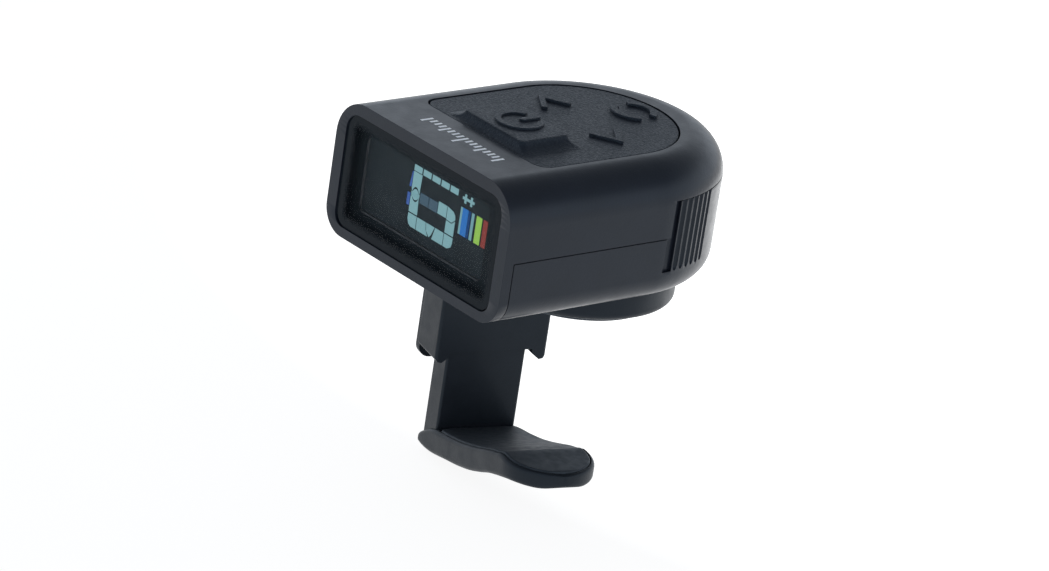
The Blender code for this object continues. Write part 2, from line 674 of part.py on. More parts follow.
# The foot from heel to tip: u, underside and rim
FOOT_STATIONS = (
    (-19.6, -24.9, -24.4),
    (-19.2, -25.2, -23.9),
    (-16.7, -25.1, -22.55),
    (-12.4, -24.15, -21.55),
    (-9.8, -23.55, -20.9),
    (-7.2, -22.8, -20.1),
    (-4.8, -21.9, -19.25),
    (-2.9, -21.1, -18.55),
    (-1.4, -20.6, -18.1),
    (-0.6, -20.35, -17.8),
    (1.5, -19.8, -17.8),
    (5.2, -19.5, -17.8),
)
TIP_STATIONS = (-0.6, 0.35, 1.8, 2.9, 3.8, 4.5, 4.95, 5.12)


def along_foot(u, column):
    """Height of the foot's underside (1) or rim (2) at u."""
    for near, far in zip(FOOT_STATIONS, FOOT_STATIONS[1:]):
        if u <= far[0]:
            return near[column] + (far[column] - near[column]) * (u - near[0]) / (far[0] - near[0])
    return FOOT_STATIONS[-1][column]


def foot_half_width(u, inset):
    """Straight sides that end in a round tip."""
    radius = FOOT_HALF_WIDTH - inset
    if u < TIP_CENTRE:
        return radius
    return sqrt(max(radius**2 - (u - TIP_CENTRE) ** 2, 0.35**2))


def foot_ring(u, half, low, high):
    edge = min(0.45, 0.4 * (high - low), 0.6 * half)
    return [(u, y, z) for y, z in rounded_rect(-half, half, low, high, edge, 2)]


def foot_rings():
    places = [row[0] for row in FOOT_STATIONS if row[0] < TIP_STATIONS[0]] + list(TIP_STATIONS)
    return [foot_ring(u, foot_half_width(u, 0.0), along_foot(u, 1), along_foot(u, 2)) for u in places]


def lower_pad_rings(grow, headroom):
    """The pad's sections; the pocket it lies in is the same shape, grown and open above."""
    inset = LOWER_PAD_INSET - grow
    rear = LOWER_PAD_REAR - grow
    places = [rear, rear + 0.3, rear + 1.0]
    places += [row[0] for row in FOOT_STATIONS if places[-1] < row[0] < TIP_STATIONS[0]]
    places += [u - inset for u in TIP_STATIONS]
    rings = []
    for u in places:
        half = foot_half_width(u, inset)
        half -= max(0.0, 1.0 - (u - rear)) ** 2
        top = along_foot(u, 2) + LOWER_PAD_PROUD
        low, high = top - LOWER_PAD_THICKNESS - grow, top + headroom
        edge = min(0.25, 0.5 * half)
        rings.append([(u, y, z) for y, z in rounded_rect(-half, half, low, high, edge, 2)])
    return rings


def make_jaw(clamp):
    """Stem with the ratchet's rack in its back, and the foot that rises to the tip under the pad."""
    stem_outline = rounded_rect(STEM_BACK, STEM_FACE, -STEM_HALF_WIDTH, STEM_HALF_WIDTH, 0.25, 2)
    jaw = prism("jaw_frame", "clamp", stem_outline, STEM_BOTTOM, STEM_TOP, "z", clamp)
    pocket = loft("pad_pocket_cutter", "clamp", lower_pad_rings(LOWER_PAD_GAP, 2.0), clamp)
    foot = loft("foot_guide", "clamp", foot_rings(), clamp)
    fuse(jaw, foot)
    floor = STEM_BACK + RACK_DEPTH
    rack = [(STEM_BACK - 1, STEM_TOP - 0.6), (floor, STEM_TOP - 0.6)]
    for i in range(TOOTH_COUNT):
        top = STEM_TOP - 0.9 - i * TOOTH_PITCH
        point = top - TOOTH_PITCH + 0.25
        rack += [(floor, top), (floor - TOOTH_HEIGHT, point), (floor, point - 0.05)]
    rack += [(floor, rack[-1][1] - 0.3), (STEM_BACK - 1, rack[-1][1] - 0.3)]
    cut(jaw, pocket, prism("rack_cutter", "clamp", rack, -RACK_HALF_WIDTH, RACK_HALF_WIDTH, "y", clamp))


def make_lower_pad(clamp):
    loft("lower_pad", "rubber", lower_pad_rings(0.0, 0.0), clamp)


def main():
    for old in list(bpy.data.objects):
        bpy.data.objects.remove(old, do_unlink=True)
    head = empty("head_on_swivel_axis", (0.0, 0.0, UNDERSIDE))
    clamp = empty("clamp_direction", (0.0, 0.0, 0.0), CLAMP_TURN)
    hinge = empty("lever_axis", (LEVER_AXIS[0], 0.0, LEVER_AXIS[1]), 0.0, clamp)
    make_upper_shell(head)
    make_lower_shell(head)
    make_window(head)
    make_display(head)
    make_keys(head)
    make_board(head)
    make_battery(head)
    make_swivel(head)
    make_clamp_frame(clamp)
    make_clamp_parts(clamp)
    make_release_lever(hinge)
    make_lever_spring(clamp)
    make_jaw(clamp)
    make_lower_pad(clamp)


main()
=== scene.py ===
"""Looks of the clip-on tuner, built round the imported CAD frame.

Lengths in the shape functions are in millimetres, in the head's own frame (x across, y back from
the swivel axis, z up from the head's underside) or the clamp's (u towards the jaw's tip, v across,
w up from the upper pad's face), and become metres in the row frame when a mesh is made.
"""

from math import cos, pi, radians, sin, sqrt

import bmesh
import bpy
from mathutils import Matrix, Vector


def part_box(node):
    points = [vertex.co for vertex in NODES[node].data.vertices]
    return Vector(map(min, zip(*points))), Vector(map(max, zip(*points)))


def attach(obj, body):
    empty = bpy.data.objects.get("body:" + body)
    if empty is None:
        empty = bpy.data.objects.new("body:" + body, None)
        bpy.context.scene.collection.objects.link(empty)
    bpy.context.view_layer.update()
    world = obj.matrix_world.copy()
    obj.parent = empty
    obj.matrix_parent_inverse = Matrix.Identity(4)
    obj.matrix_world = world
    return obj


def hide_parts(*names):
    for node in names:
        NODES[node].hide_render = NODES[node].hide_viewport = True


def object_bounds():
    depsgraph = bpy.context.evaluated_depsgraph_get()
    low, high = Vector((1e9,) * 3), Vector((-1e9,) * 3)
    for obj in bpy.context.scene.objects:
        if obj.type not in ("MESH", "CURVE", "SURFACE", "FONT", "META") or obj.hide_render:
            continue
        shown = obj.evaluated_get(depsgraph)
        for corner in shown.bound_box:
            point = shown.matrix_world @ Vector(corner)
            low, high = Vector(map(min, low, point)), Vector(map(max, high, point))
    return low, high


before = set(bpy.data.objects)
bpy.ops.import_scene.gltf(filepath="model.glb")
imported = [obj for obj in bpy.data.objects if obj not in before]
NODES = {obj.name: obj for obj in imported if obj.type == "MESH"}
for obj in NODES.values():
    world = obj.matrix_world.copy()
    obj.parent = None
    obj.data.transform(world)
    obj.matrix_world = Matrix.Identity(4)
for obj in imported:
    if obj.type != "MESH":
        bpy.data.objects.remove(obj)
CAD_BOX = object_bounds()
MM = 0.001

# The frame's own sizes, in millimetres
HEAD_LOW, HEAD_HIGH = (Vector(corner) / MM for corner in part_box("upper_shell"))
FRONT = HEAD_LOW.y
UNDERSIDE = HEAD_LOW.z
HEAD_WIDTH = HEAD_HIGH.x - HEAD_LOW.x
HEAD_HEIGHT = HEAD_HIGH.z - HEAD_LOW.z
HEAD_LENGTH = HEAD_HIGH.y - HEAD_LOW.y

# Head form
SIDE_LENGTH = 19.3
TAIL_DEPTH = 14.6
TOP_FILLET = 3.9
BOTTOM_FILLET = 2.7
WALL = 1.45
FLOOR = 1.2
SEAM = 0.1
BEZEL_DEPTH = 1.1
SEAM_HEIGHT = 6.65
GRIP_START = 20.5
GRIP_BOTTOM = 3.1
GRIP_RECESS_DEPTH = 0.45
GRIP_RECESS_END = 21.2
FLUTE_COUNT = 6
FLUTE_START = 9.4
FLUTE_STEP = 3.55
FLUTE_RADIUS = 0.34
FLUTE_LIFT = 0.02
RIM_HEIGHT = 10.45
WINDOW_HALF = 12.05
WINDOW_BOTTOM = 1.0
WINDOW_TOP = 12.65
WINDOW_RADIUS = 1.8
MAT_HALF_WIDTH = 9.3
MAT_FRONT = 6.5
MAT_REAR = 28.7
MAT_TOP = HEAD_HEIGHT - 0.05
LEFT_KEY = (-5.0, 18.8)
RIGHT_KEY = (5.0, 18.8)
MODE_KEY = (0.0, 25.6)
POWER_KEY = (0.2, 10.8)
KEY_RADIUS = 3.0
MODE_KEY_RADIUS = 2.6
KEY_SEAM = 0.02
POWER_CROWN = MAT_TOP + 0.95
PLUNGER_RADIUS = 1.1
BOSS_SPOTS = ((-10.9, 9.0), (10.9, 9.0), (-10.9, 19.0), (10.9, 19.0))
BOSS_RADIUS = 1.25
PILOT_RADIUS = 0.72
CELL_WALL_CENTRE = 17.6
CELL_WALL_OUTER = 10.85
CELL_WALL_INNER = 10.25

# Display: its cells' columns and rows, and its layers' depths behind the front face
CELL_LEFT = -3.5
CELL_PITCH = 1.4
CELL_WIDTH = 1.27
ROW_TOP = (9.5, 10.1)
ROW_MIDDLE = (6.7, 7.9)
ROW_BOTTOM = (3.9, 5.15)
BAR_ROW = (5.95, 8.65)
PANE_DEPTHS = (0.18, 1.1)
SURROUND_DEPTHS = (1.45, 1.82)
CELL_DEPTHS = (1.93, 1.985)

# Printed tick scale
TICK_COUNT = 8
TICK_CENTRE = 0.5
TICK_STEP = 0.68
TICK_HALF_WIDTH = 0.15
TICK_FOOT = 4.6

# Clamp
CLAMP_TURN = -15.0
DISC_RADIUS = 10.0
DISC_TOP = 3.4
DISC_BOTTOM = 0.7
PAD_RADIUS = 8.45
PAD_TOP = 1.15
SLEEVE_FACE = -15.15
SLEEVE_HALF_WIDTH = 6.15
SLEEVE_BACK = -19.85
SLEEVE_BOTTOM = -13.4
LEG_BOTTOM = -14.55
CHANNEL_FACE = -16.0
CHANNEL_BACK = -19.4
CHANNEL_HALF_WIDTH = 4.55
CHANNEL_TOP = 2.4
STEM_FACE = -16.15
STEM_BACK = -19.25
STEM_HALF_WIDTH = 4.35
STEM_TOP = -5.0
RACK_HALF_WIDTH = 3.0
RACK_DEPTH = 1.1
TOOTH_PITCH = 1.0
TOOTH_HEIGHT = 0.6
TOOTH_COUNT = 15
STEM_BOTTOM = -24.5
FOOT_HALF_WIDTH = 4.8
TIP_CENTRE = 0.35
LOWER_PAD_REAR = -15.8
LOWER_PAD_INSET = 0.45
LOWER_PAD_PROUD = 0.1
LOWER_PAD_THICKNESS = 0.9
LOWER_PAD_GAP = 0.1
LEVER_AXIS = (-20.45, 0.9)
LEVER_FACE = -20.0
LEVER_BACK = -20.9
LEVER_BOTTOM = -16.0
PIN_RADIUS = 0.5
PIN_CLEARANCE = 0.08
KNUCKLE_HALF = 1.5
EAR_INNER = 4.8
PAD_GROOVES = (2.6, 4.6, 6.6)
SPRING_RADIUS = 0.78
SPRING_TURNS = 3.0
SPRING_PITCH = 0.42
SPRING_WIRE_RADIUS = 0.14
SPRING_STEPS = 40

# The foot from heel to tip: u, underside and rim
FOOT_STATIONS = (
    (-19.6, -24.9, -24.4),
    (-19.2, -25.2, -23.9),
    (-16.7, -25.1, -22.55),
    (-12.4, -24.15, -21.55),
    (-9.8, -23.55, -20.9),
    (-7.2, -22.8, -20.1),
    (-4.8, -21.9, -19.25),
    (-2.9, -21.1, -18.55),
    (-1.4, -20.6, -18.1),
    (-0.6, -20.35, -17.8),
    (1.5, -19.8, -17.8),
    (5.2, -19.5, -17.8),
)
HEEL = -19.6
HEEL_FULL = -19.2
TIP_TAPER = 3.8

# Finish and light
COOL_GLOSS = (0.62, 0.82, 1.0, 1.0)
COOL_LIGHT = (0.84, 0.91, 1.0)
CELL_GLOW = 1.25
NOISE_ROUGHNESS = 0.55
SMOOTH_ANGLE = 40.0
BEHIND_PANE = {"grain": 0.4, "relief": 0.0, "specular": 0.03}
WINDOW_BORDER = 1.7
HORIZON_LIGHT = 1.2
CEILING_LIGHT = 0.3
CEILING_RISE = (0.25, 0.6)
FLOOR_GLOW = (2.6, 0.9)
FLOOR_GLOW_CENTRE = (-0.03, 0.13)
FLOOR_GLOW_RADIUS = 0.13

# Camera, in degrees and millimetres about the head's middle
CAMERA_AZIMUTH = 48.063
CAMERA_ELEVATION = 21.591
CAMERA_ROLL = 8.713
CAMERA_AIM = (0.0, 14.0, 6.5)
CAMERA_ACROSS = -0.598
CAMERA_UP = -8.509
CAMERA_DISTANCE = 527.3
CAMERA_LENS = 188.1
CAMERA_SENSOR = 36.0

# Where each frame stands in the row frame
HEAD = Matrix.Translation(Vector((0.0, 0.0, UNDERSIDE)) * MM) @ Matrix.Scale(MM, 4)
CLAMP = Matrix.Rotation(radians(CLAMP_TURN), 4, "Z") @ Matrix.Scale(MM, 4)


def behind(distance):
    """Head-frame y of a point this far behind the front face."""
    return distance + FRONT


# ---- materials


def add_node(tree, kind, inputs, operation=None):
    """A shader node; an input given another node's output is linked to it, any other is set."""
    node = tree.nodes.new("ShaderNode" + kind)
    if operation:
        node.operation = operation
    for socket, value in inputs.items():
        if isinstance(value, bpy.types.NodeSocket):
            tree.links.new(value, node.inputs[socket])
        else:
            node.inputs[socket].default_value = value
    return node


def fall_off(tree, source, start, end, near, far, interpolation="SMOOTHSTEP"):
    """A value that goes from near to far as source goes from start to end."""
    spans = {"Value": source, "From Min": start, "From Max": end, "To Min": near, "To Max": far}
    node = add_node(tree, "MapRange", spans)
    node.interpolation_type = interpolation
    return node.outputs["Result"]


class Shader:
    """A node material under construction: one Principled shader and helpers that feed it."""

    def __init__(self, name, colour, roughness, metallic=0.0, specular=0.5):
        self.material = bpy.data.materials.new(name)
        self.material.use_nodes = True
        self.tree = self.material.node_tree
        self.bsdf = self.tree.nodes["Principled BSDF"]
        self.set("Base Color", (*colour, 1.0))
        self.set("Roughness", roughness)
        self.set("Metallic", metallic)
        self.set("Specular IOR Level", specular)
        self.place = self.add("TexCoord", {}).outputs["Object"]

    def add(self, kind, inputs, operation=None):
        return add_node(self.tree, kind, inputs, operation)

    def set(self, socket, value):
        self.bsdf.inputs[socket].default_value = value

    def link(self, output, socket):
        self.tree.links.new(output, self.bsdf.inputs[socket])

    def noise(self, per_mm, detail=3.0, stretch=None):
        """Noise with this many grains to the millimetre."""
        place = self.place
        if stretch:
            place = self.add("Mapping", {"Vector": place, "Scale": stretch}).outputs["Vector"]
        inputs = {"Vector": place, "Scale": per_mm / MM, "Detail": detail, "Roughness": NOISE_ROUGHNESS}
        return self.add("TexNoise", inputs).outputs["Fac"]

    def cells(self, per_mm):
        """Distance from the nearest of scattered points, this many to the millimetre."""
        return self.add("TexVoronoi", {"Vector": self.place, "Scale": per_mm / MM}).outputs["Distance"]

    def ramp(self, factor, *stops):
        """A colour ramp; each stop is (position, (r, g, b)) or (position, value)."""
        node = self.add("ValToRGB", {"Fac": factor})
        elements = node.color_ramp.elements
        for index, (position, colour) in enumerate(stops):
            elements[index].position = position
            shade = colour if isinstance(colour, tuple) else (colour, colour, colour)
            elements[index].color = (*shade, 1.0)
        return node.outputs["Color"]

    def vary_colour(self, factor, dark, light):
        self.link(self.ramp(factor, (0.3, dark), (0.7, light)), "Base Color")

    def vary_roughness(self, factor, low, high):
        self.link(self.ramp(factor, (0.3, low), (0.7, high)), "Roughness")

    def bump(self, *layers):
        """Surface relief; each layer is (factor, height in millimetres)."""
        normal = None
        for factor, height in layers:
            inputs = {"Height": factor, "Distance": height * MM, "Strength": 1.0}
            if normal:
                inputs["Normal"] = normal
            normal = self.add("Bump", inputs).outputs["Normal"]
        self.link(normal, "Normal")


def moulded_plastic(name, colour, roughness, grain_mm, relief, gloss):
    """Satin moulded plastic: a fine spark-eroded grain and slightly uneven gloss."""
    shader = Shader(name, colour, roughness, specular=0.2)
    shader.set("Specular Tint", COOL_GLOSS)
    shader.set("Coat Weight", gloss)
    shader.set("Coat Roughness", 0.16)
    dark = tuple(c * 0.9 for c in colour)
    light = tuple(c * 1.12 for c in colour)
    shader.vary_colour(shader.noise(0.25, 4.0), dark, light)
    shader.vary_roughness(shader.noise(0.6, 5.0), roughness - 0.05, roughness + 0.06)
    shader.bump((shader.noise(1.0 / grain_mm, 2.0), relief), (shader.noise(0.12, 2.0), 0.02))
    return shader.material


def keypad_rubber():
    """Dark rubber with a coarse, glinting leather-like grain."""
    shader = Shader("keypad_rubber", (0.010, 0.012, 0.018), 0.5, specular=0.33)
    shader.set("Specular Tint", COOL_GLOSS)
    grain = shader.cells(5.5)
    shader.vary_colour(shader.noise(3.5, 3.0), (0.008, 0.010, 0.015), (0.013, 0.016, 0.023))
    shader.vary_roughness(shader.noise(4.5, 2.0), 0.42, 0.62)
    shader.bump((shader.noise(4.2, 3.0), 0.05), (grain, 0.03))
    return shader.material


def soft_rubber(name):
    """Smooth matt rubber of the two jaw pads."""
    shader = Shader(name, (0.024, 0.026, 0.030), 0.50, specular=0.5)
    shader.set("Specular Tint", COOL_GLOSS)
    shader.vary_colour(shader.noise(0.5, 4.0), (0.019, 0.021, 0.025), (0.027, 0.030, 0.036))
    shader.vary_roughness(shader.noise(1.2, 4.0), 0.5, 0.66)
    shader.bump((shader.noise(6.0, 2.0), 0.008))
    return shader.material


def border_factor(shader):
    """0 over the window's middle, 1 along its border, rounded at the corners."""
    middle = Vector((0.0, 0.0, UNDERSIDE + (WINDOW_BOTTOM + WINDOW_TOP) / 2)) * MM
    half_height = (WINDOW_TOP - WINDOW_BOTTOM) / 2
    clear = Vector((WINDOW_HALF - WINDOW_BORDER, 0.0, half_height - WINDOW_BORDER)) * MM
    output = shader.place
    for operation, value in (
        ("SUBTRACT", middle),
        ("MULTIPLY", Vector((1.0, 0.0, 1.0))),
        ("ABSOLUTE", None),
        ("SUBTRACT", clear),
        ("MAXIMUM", Vector((0.0, 0.0, 0.0))),
        ("LENGTH", None),
    ):
        inputs = {0: output} if value is None else {0: output, 1: value}
        step = shader.add("VectorMath", inputs, operation)
        output = step.outputs["Value" if operation == "LENGTH" else "Vector"]
    return output


def smoked_glass():
    """The window: a dark film to look through, opaque along its border."""
    shader = Shader("smoked_window", (0.010, 0.014, 0.018), 0.04, specular=0.06)
    alpha = fall_off(shader.tree, border_factor(shader), 0.1 * MM, 1.1 * MM, 0.16, 0.96)
    shader.link(alpha, "Alpha")
    shader.vary_roughness(shader.noise(0.15, 3.0), 0.03, 0.06)
    return shader.material


def plain(name, colour, roughness, metallic=0.0, grain=2.0, relief=0.004, specular=0.5):
    """A small inner piece: slightly uneven colour and a fine surface."""
    shader = Shader(name, colour, roughness, metallic, specular)
    dark = tuple(c * 0.85 for c in colour)
    light = tuple(min(1.0, c * 1.1) for c in colour)
    shader.vary_colour(shader.noise(grain, 3.0), dark, light)
    shader.bump((shader.noise(grain * 4, 2.0), relief))
    return shader.material


def brushed(name, colour, roughness, stretch):
    """Metal with fine drawn lines along one axis."""
    shader = Shader(name, colour, roughness, 1.0)
    lines = shader.noise(3.0, 4.0, stretch)
    shader.vary_colour(lines, tuple(c * 0.92 for c in colour), colour)
    shader.vary_roughness(lines, roughness * 0.9, roughness * 1.2)
    shader.bump((lines, 0.0008))
    return shader.material


def circuit_board():
    """Green solder mask with faint copper runs beneath it."""
    shader = Shader("circuit_board", (0.012, 0.13, 0.05), 0.35)
    runs = shader.noise(0.9, 1.0, (1.0, 0.15, 1.0))
    mask = shader.ramp(runs, (0.46, (0.008, 0.10, 0.04)), (0.5, (0.02, 0.19, 0.08)))
    shader.link(mask, "Base Color")
    shader.bump((runs, 0.02))
    return shader.material


def lit_cell(name, colour):
    """A lit colour cell of the display."""
    shader = Shader(name, tuple(c * 0.4 for c in colour), 0.4, specular=0.1)
    shader.set("Emission Color", (*colour, 1.0))
    shader.set("Emission Strength", CELL_GLOW)
    shader.bump((shader.noise(3.0, 2.0), 0.002))
    return shader.material


def make_materials():
    """Every finish, by the short name that the pieces ask for."""
    return {
        "shell": moulded_plastic("shell_plastic", (0.007, 0.009, 0.015), 0.40, 0.22, 0.010, 0.25),
        "clamp": moulded_plastic("clamp_plastic", (0.010, 0.012, 0.016), 0.44, 0.20, 0.010, 0.06),
        "mat": keypad_rubber(),
        "pad": soft_rubber("pad_rubber"),
        "window": smoked_glass(),
        "lcd": plain("lcd_glass", (0.046, 0.060, 0.068), 0.4, **BEHIND_PANE),
        "surround": plain("display_surround", (0.022, 0.030, 0.035), 0.45, **BEHIND_PANE),
        "print": plain("white_print", (0.88, 0.91, 0.97), 0.5),
        "teal": lit_cell("cell_teal", (0.18, 0.34, 0.37)),
        "dim": lit_cell("cell_dim", (0.05, 0.09, 0.125)),
        "deep_blue": lit_cell("cell_deep_blue", (0.045, 0.10, 0.31)),
        "blue": lit_cell("cell_blue", (0.025, 0.14, 0.41)),
        "navy": lit_cell("cell_navy", (0.010, 0.045, 0.14)),
        "sky": lit_cell("cell_sky", (0.14, 0.29, 0.33)),
        "green": lit_cell("cell_green", (0.24, 0.45, 0.08)),
        "red": lit_cell("cell_red", (0.20, 0.04, 0.035)),
        "frame": plain("display_frame", (0.16, 0.175, 0.185), 0.5, specular=0.1),
        "foam": plain("foam_rubber", (0.03, 0.03, 0.03), 0.9, grain=4.0, relief=0.05),
        "white": plain("white_plastic", (0.72, 0.72, 0.69), 0.45),
        "clear": plain("clear_acrylic", (0.75, 0.80, 0.82), 0.12),
        "amber": plain("amber_film", (0.55, 0.27, 0.05), 0.3),
        "board": circuit_board(),
        "chip": plain("chip_epoxy", (0.016, 0.016, 0.017), 0.5, grain=5.0, relief=0.01),
        "ceramic": plain("fired_ceramic", (0.62, 0.55, 0.42), 0.6),
        "brass": brushed("rolled_brass", (0.78, 0.58, 0.28), 0.28, (1.0, 0.1, 1.0)),
        "steel": brushed("nickel_plate", (0.66, 0.66, 0.67), 0.25, (0.2, 1.0, 1.0)),
    }


MATERIALS = make_materials()


# ---- mesh tools


def new_object(name, bm, place=None):
    """A mesh object from a bmesh, its faces turned outwards; place takes it into the row frame."""
    bmesh.ops.recalc_face_normals(bm, faces=bm.faces)
    if place:
        bm.transform(place)
    mesh = bpy.data.meshes.new(name)
    bm.to_mesh(mesh)
    bm.free()
    made = bpy.data.objects.new(name, mesh)
    bpy.context.scene.collection.objects.link(made)
    return made


def band(bm, low, high):
    """Faces between two rings of vertices."""
    for i in range(len(low)):
        j = (i + 1) % len(low)
        bm.faces.new((low[i], low[j], high[j], high[i]))


def skin(rings):
    """A bmesh through rings of equal length, with both ends closed."""
    bm = bmesh.new()
    rows = [[bm.verts.new(p) for p in ring] for ring in rings]
    bm.faces.new(rows[0])
    bm.faces.new(rows[-1])
    for low, high in zip(rows, rows[1:]):
        band(bm, low, high)
    return bm


def hoop(rings):
    """A bmesh through rings of equal length, the last joined to the first."""
    bm = bmesh.new()
    rows = [[bm.verts.new(p) for p in ring] for ring in rings]
    for here, there in zip(rows, rows[1:] + rows[:1]):
        band(bm, here, there)
    return bm


def extrude(outline, low, high, axis="z"):
    """A bmesh prism; x takes (y, z) pairs, y takes (x, z) pairs and z takes (x, y) pairs."""
    put = {
        "x": lambda a, b, t: (t, a, b),
        "y": lambda a, b, t: (a, t, b),
        "z": lambda a, b, t: (a, b, t),
    }[axis]
    return skin([[put(a, b, t) for a, b in outline] for t in (low, high)])


def block(left, right, bottom, top):
    """The outline of a plain rectangle."""
    return [(left, bottom), (right, bottom), (right, top), (left, top)]


def brick(low, high):
    """A bmesh box between two corners."""
    return extrude(block(low[0], high[0], low[1], high[1]), low[2], high[2])


def arc(centre, radius, start, end, steps):
    """Points from start to end degrees; radius is one number, or one for each axis."""
    across, along = radius if isinstance(radius, tuple) else (radius, radius)
    angles = [radians(start + (end - start) * i / steps) for i in range(steps + 1)]
    return [(centre[0] + across * cos(a), centre[1] + along * sin(a)) for a in angles]


def circle(radius, steps, centre=(0.0, 0.0)):
    """Points of a whole circle, the first not repeated."""
    return arc(centre, radius, 0.0, 360.0, steps)[:-1]


def rounded_rect(left, right, bottom, top, radius, steps=8):
    """The outline of a rectangle with round corners."""
    corners = (
        (right - radius, bottom + radius, -90.0),
        (right - radius, top - radius, 0.0),
        (left + radius, top - radius, 90.0),
        (left + radius, bottom + radius, 180.0),
    )
    return [p for x, y, start in corners for p in arc((x, y), radius, start, start + 90.0, steps)]


def turned(profile, steps, centre=(0.0, 0.0)):
    """A bmesh of revolution about Z; the profile is (radius, height) from one pole to the other."""
    rings = []
    for radius, height in profile:
        points = circle(max(radius, 0.01), steps)
        rings.append([(centre[0] + x, centre[1] + y, height) for x, y in points])
    return skin(rings)


def rolled(radius, low, high, lower_edge, upper_edge, steps=5):
    """Profile of a plate whose two rims are rolled over."""
    lower = arc((radius - lower_edge, low + lower_edge), lower_edge, -90.0, 0.0, steps)
    upper = arc((radius - upper_edge, high - upper_edge), upper_edge, 0.0, 90.0, steps)
    return lower + upper


def round_edges(bm, edges, width, segments):
    """Bevel these edges; returns the bmesh."""
    bmesh.ops.bevel(
        bm, geom=edges, offset=width, segments=segments, profile=0.5, affect="EDGES", clamp_overlap=True
    )
    return bm


def bevel(bm, width, segments=2, angle=35.0):
    """Round every edge sharper than angle."""
    bm.normal_update()
    edges = [e for e in bm.edges if len(e.link_faces) == 2 and e.calc_face_angle() > radians(angle)]
    return round_edges(bm, edges, width, segments)


def join_meshes(target, operation, *others):
    """Exact Booleans of bmeshes in millimetres, by way of scratch objects; returns a new bmesh."""
    objects = [new_object("scratch", bm) for bm in (target, *others)]
    for other in objects[1:]:
        step = objects[0].modifiers.new("step", "BOOLEAN")
        step.operation = operation
        step.solver = "EXACT"
        step.object = other
    bpy.context.view_layer.update()
    evaluated = objects[0].evaluated_get(bpy.context.evaluated_depsgraph_get())
    result = bmesh.new()
    result.from_mesh(evaluated.to_mesh())
    evaluated.to_mesh_clear()
    for scratch in objects:
        mesh = scratch.data
        bpy.data.objects.remove(scratch)
        bpy.data.meshes.remove(mesh)
    bmesh.ops.remove_doubles(result, verts=result.verts, dist=0.0005)
    bmesh.ops.dissolve_degenerate(result, edges=result.edges, dist=0.0005)
    return result


def cut(target, *others):
    """The target without the others."""
    return join_meshes(target, "DIFFERENCE", *others)


def fuse(target, *others):
    """All of them in one."""
    return join_meshes(target, "UNION", *others)


def finish_piece(name, bm, place, finish, body, slot, *nodes):
    """Make the object, shade it, hang it on its body and hide the imported nodes that it replaces."""
    piece = new_object(name, bm, place)
    piece.data.materials.append(MATERIALS[finish])
    piece.data.shade_smooth()
    piece.data.set_sharp_from_angle(angle=radians(SMOOTH_ANGLE))
    weigh = piece.modifiers.new("weighted_normals", "WEIGHTED_NORMAL")
    weigh.keep_sharp = True
    weigh.weight = 100
    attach(piece, body)
    if nodes:
        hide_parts(*nodes)


# ---- head shells


def tail_outline(half_width, front, tail_depth, steps):
    """Plan of the head: a flat front, straight sides and a round tail."""
    tail = arc((0.0, behind(SIDE_LENGTH)), (half_width, tail_depth), 0.0, 180.0, steps)
    return [(-half_width, front), (half_width, front)] + tail


def head_body(inset, low, high, bottom_fillet, top_fillet, front, steps, fillet_steps):
    """The head's form, drawn in by inset, with its long edges rolled over."""
    levels = []
    for i in range(fillet_steps):
        lean = radians(90.0 * i / fillet_steps)
        levels.append((bottom_fillet * (1 - sin(lean)), low + bottom_fillet * (1 - cos(lean))))
    levels.append((0.0, low + bottom_fillet))
    for i in range(fillet_steps + 1):
        lean = radians(90.0 * i / fillet_steps)
        levels.append((top_fillet * (1 - cos(lean)), high - top_fillet * (1 - sin(lean))))
    half_width = HEAD_WIDTH / 2 - inset
    depth = TAIL_DEPTH - inset
    rings = []
    for inward, height in levels:
        outline = tail_outline(half_width - inward, front, depth - inward, steps)
        rings.append([(x, y, height) for x, y in outline])
    return skin(rings)


def outer_head():
    """The whole head, with the rim of its front face slightly rolled."""
    front = behind(0.0)
    bm = head_body(0.0, 0.0, HEAD_HEIGHT, BOTTOM_FILLET, TOP_FILLET, front, 72, 12)
    bm.normal_update()
    rim = [
        e for e in bm.edges
        if len(e.link_faces) == 2
        and all(abs(v.co.y - front) < 1e-4 for v in e.verts)
        and sum(abs(f.normal.y + 1.0) < 1e-3 for f in e.link_faces) == 1
    ]
    return round_edges(bm, rim, 0.42, 6)


def cavity(floor):
    """The hollow inside the head, from this height up, open towards the front."""
    return head_body(WALL, floor, HEAD_HEIGHT - WALL, 1.3, 2.4, behind(-1.0), 48, 6)


def seam_outline(clearance, front):
    """Side view of what lies below the seam line."""
    rear = behind(HEAD_LENGTH + 5.0)
    step = behind(GRIP_START) + clearance
    rim, seam = RIM_HEIGHT - clearance, SEAM_HEIGHT - clearance
    return [(front, -2.0), (rear, -2.0), (rear, rim), (step, rim), (step, seam), (front, seam)]


def mat_outline(grow):
    """Plan of the keypad mat: a straight front with small corners, and an elliptic rear."""
    half = MAT_HALF_WIDTH + grow
    front = behind(MAT_FRONT) - grow
    shoulder = behind(19.5)
    corner = 1.6
    left = arc((-half + corner, front + corner), corner, 180.0, 270.0, 10)
    right = arc((half - corner, front + corner), corner, 270.0, 360.0, 10)
    rear = arc((0.0, shoulder), (half, behind(MAT_REAR) - shoulder + grow), 0.0, 180.0, 48)
    return left + right + rear


def boss_posts(radius, low, high, steps):
    """One upright column at each of the board's screws."""
    return [turned([(radius, low), (radius, high)], steps, (x, behind(y))) for x, y in BOSS_SPOTS]


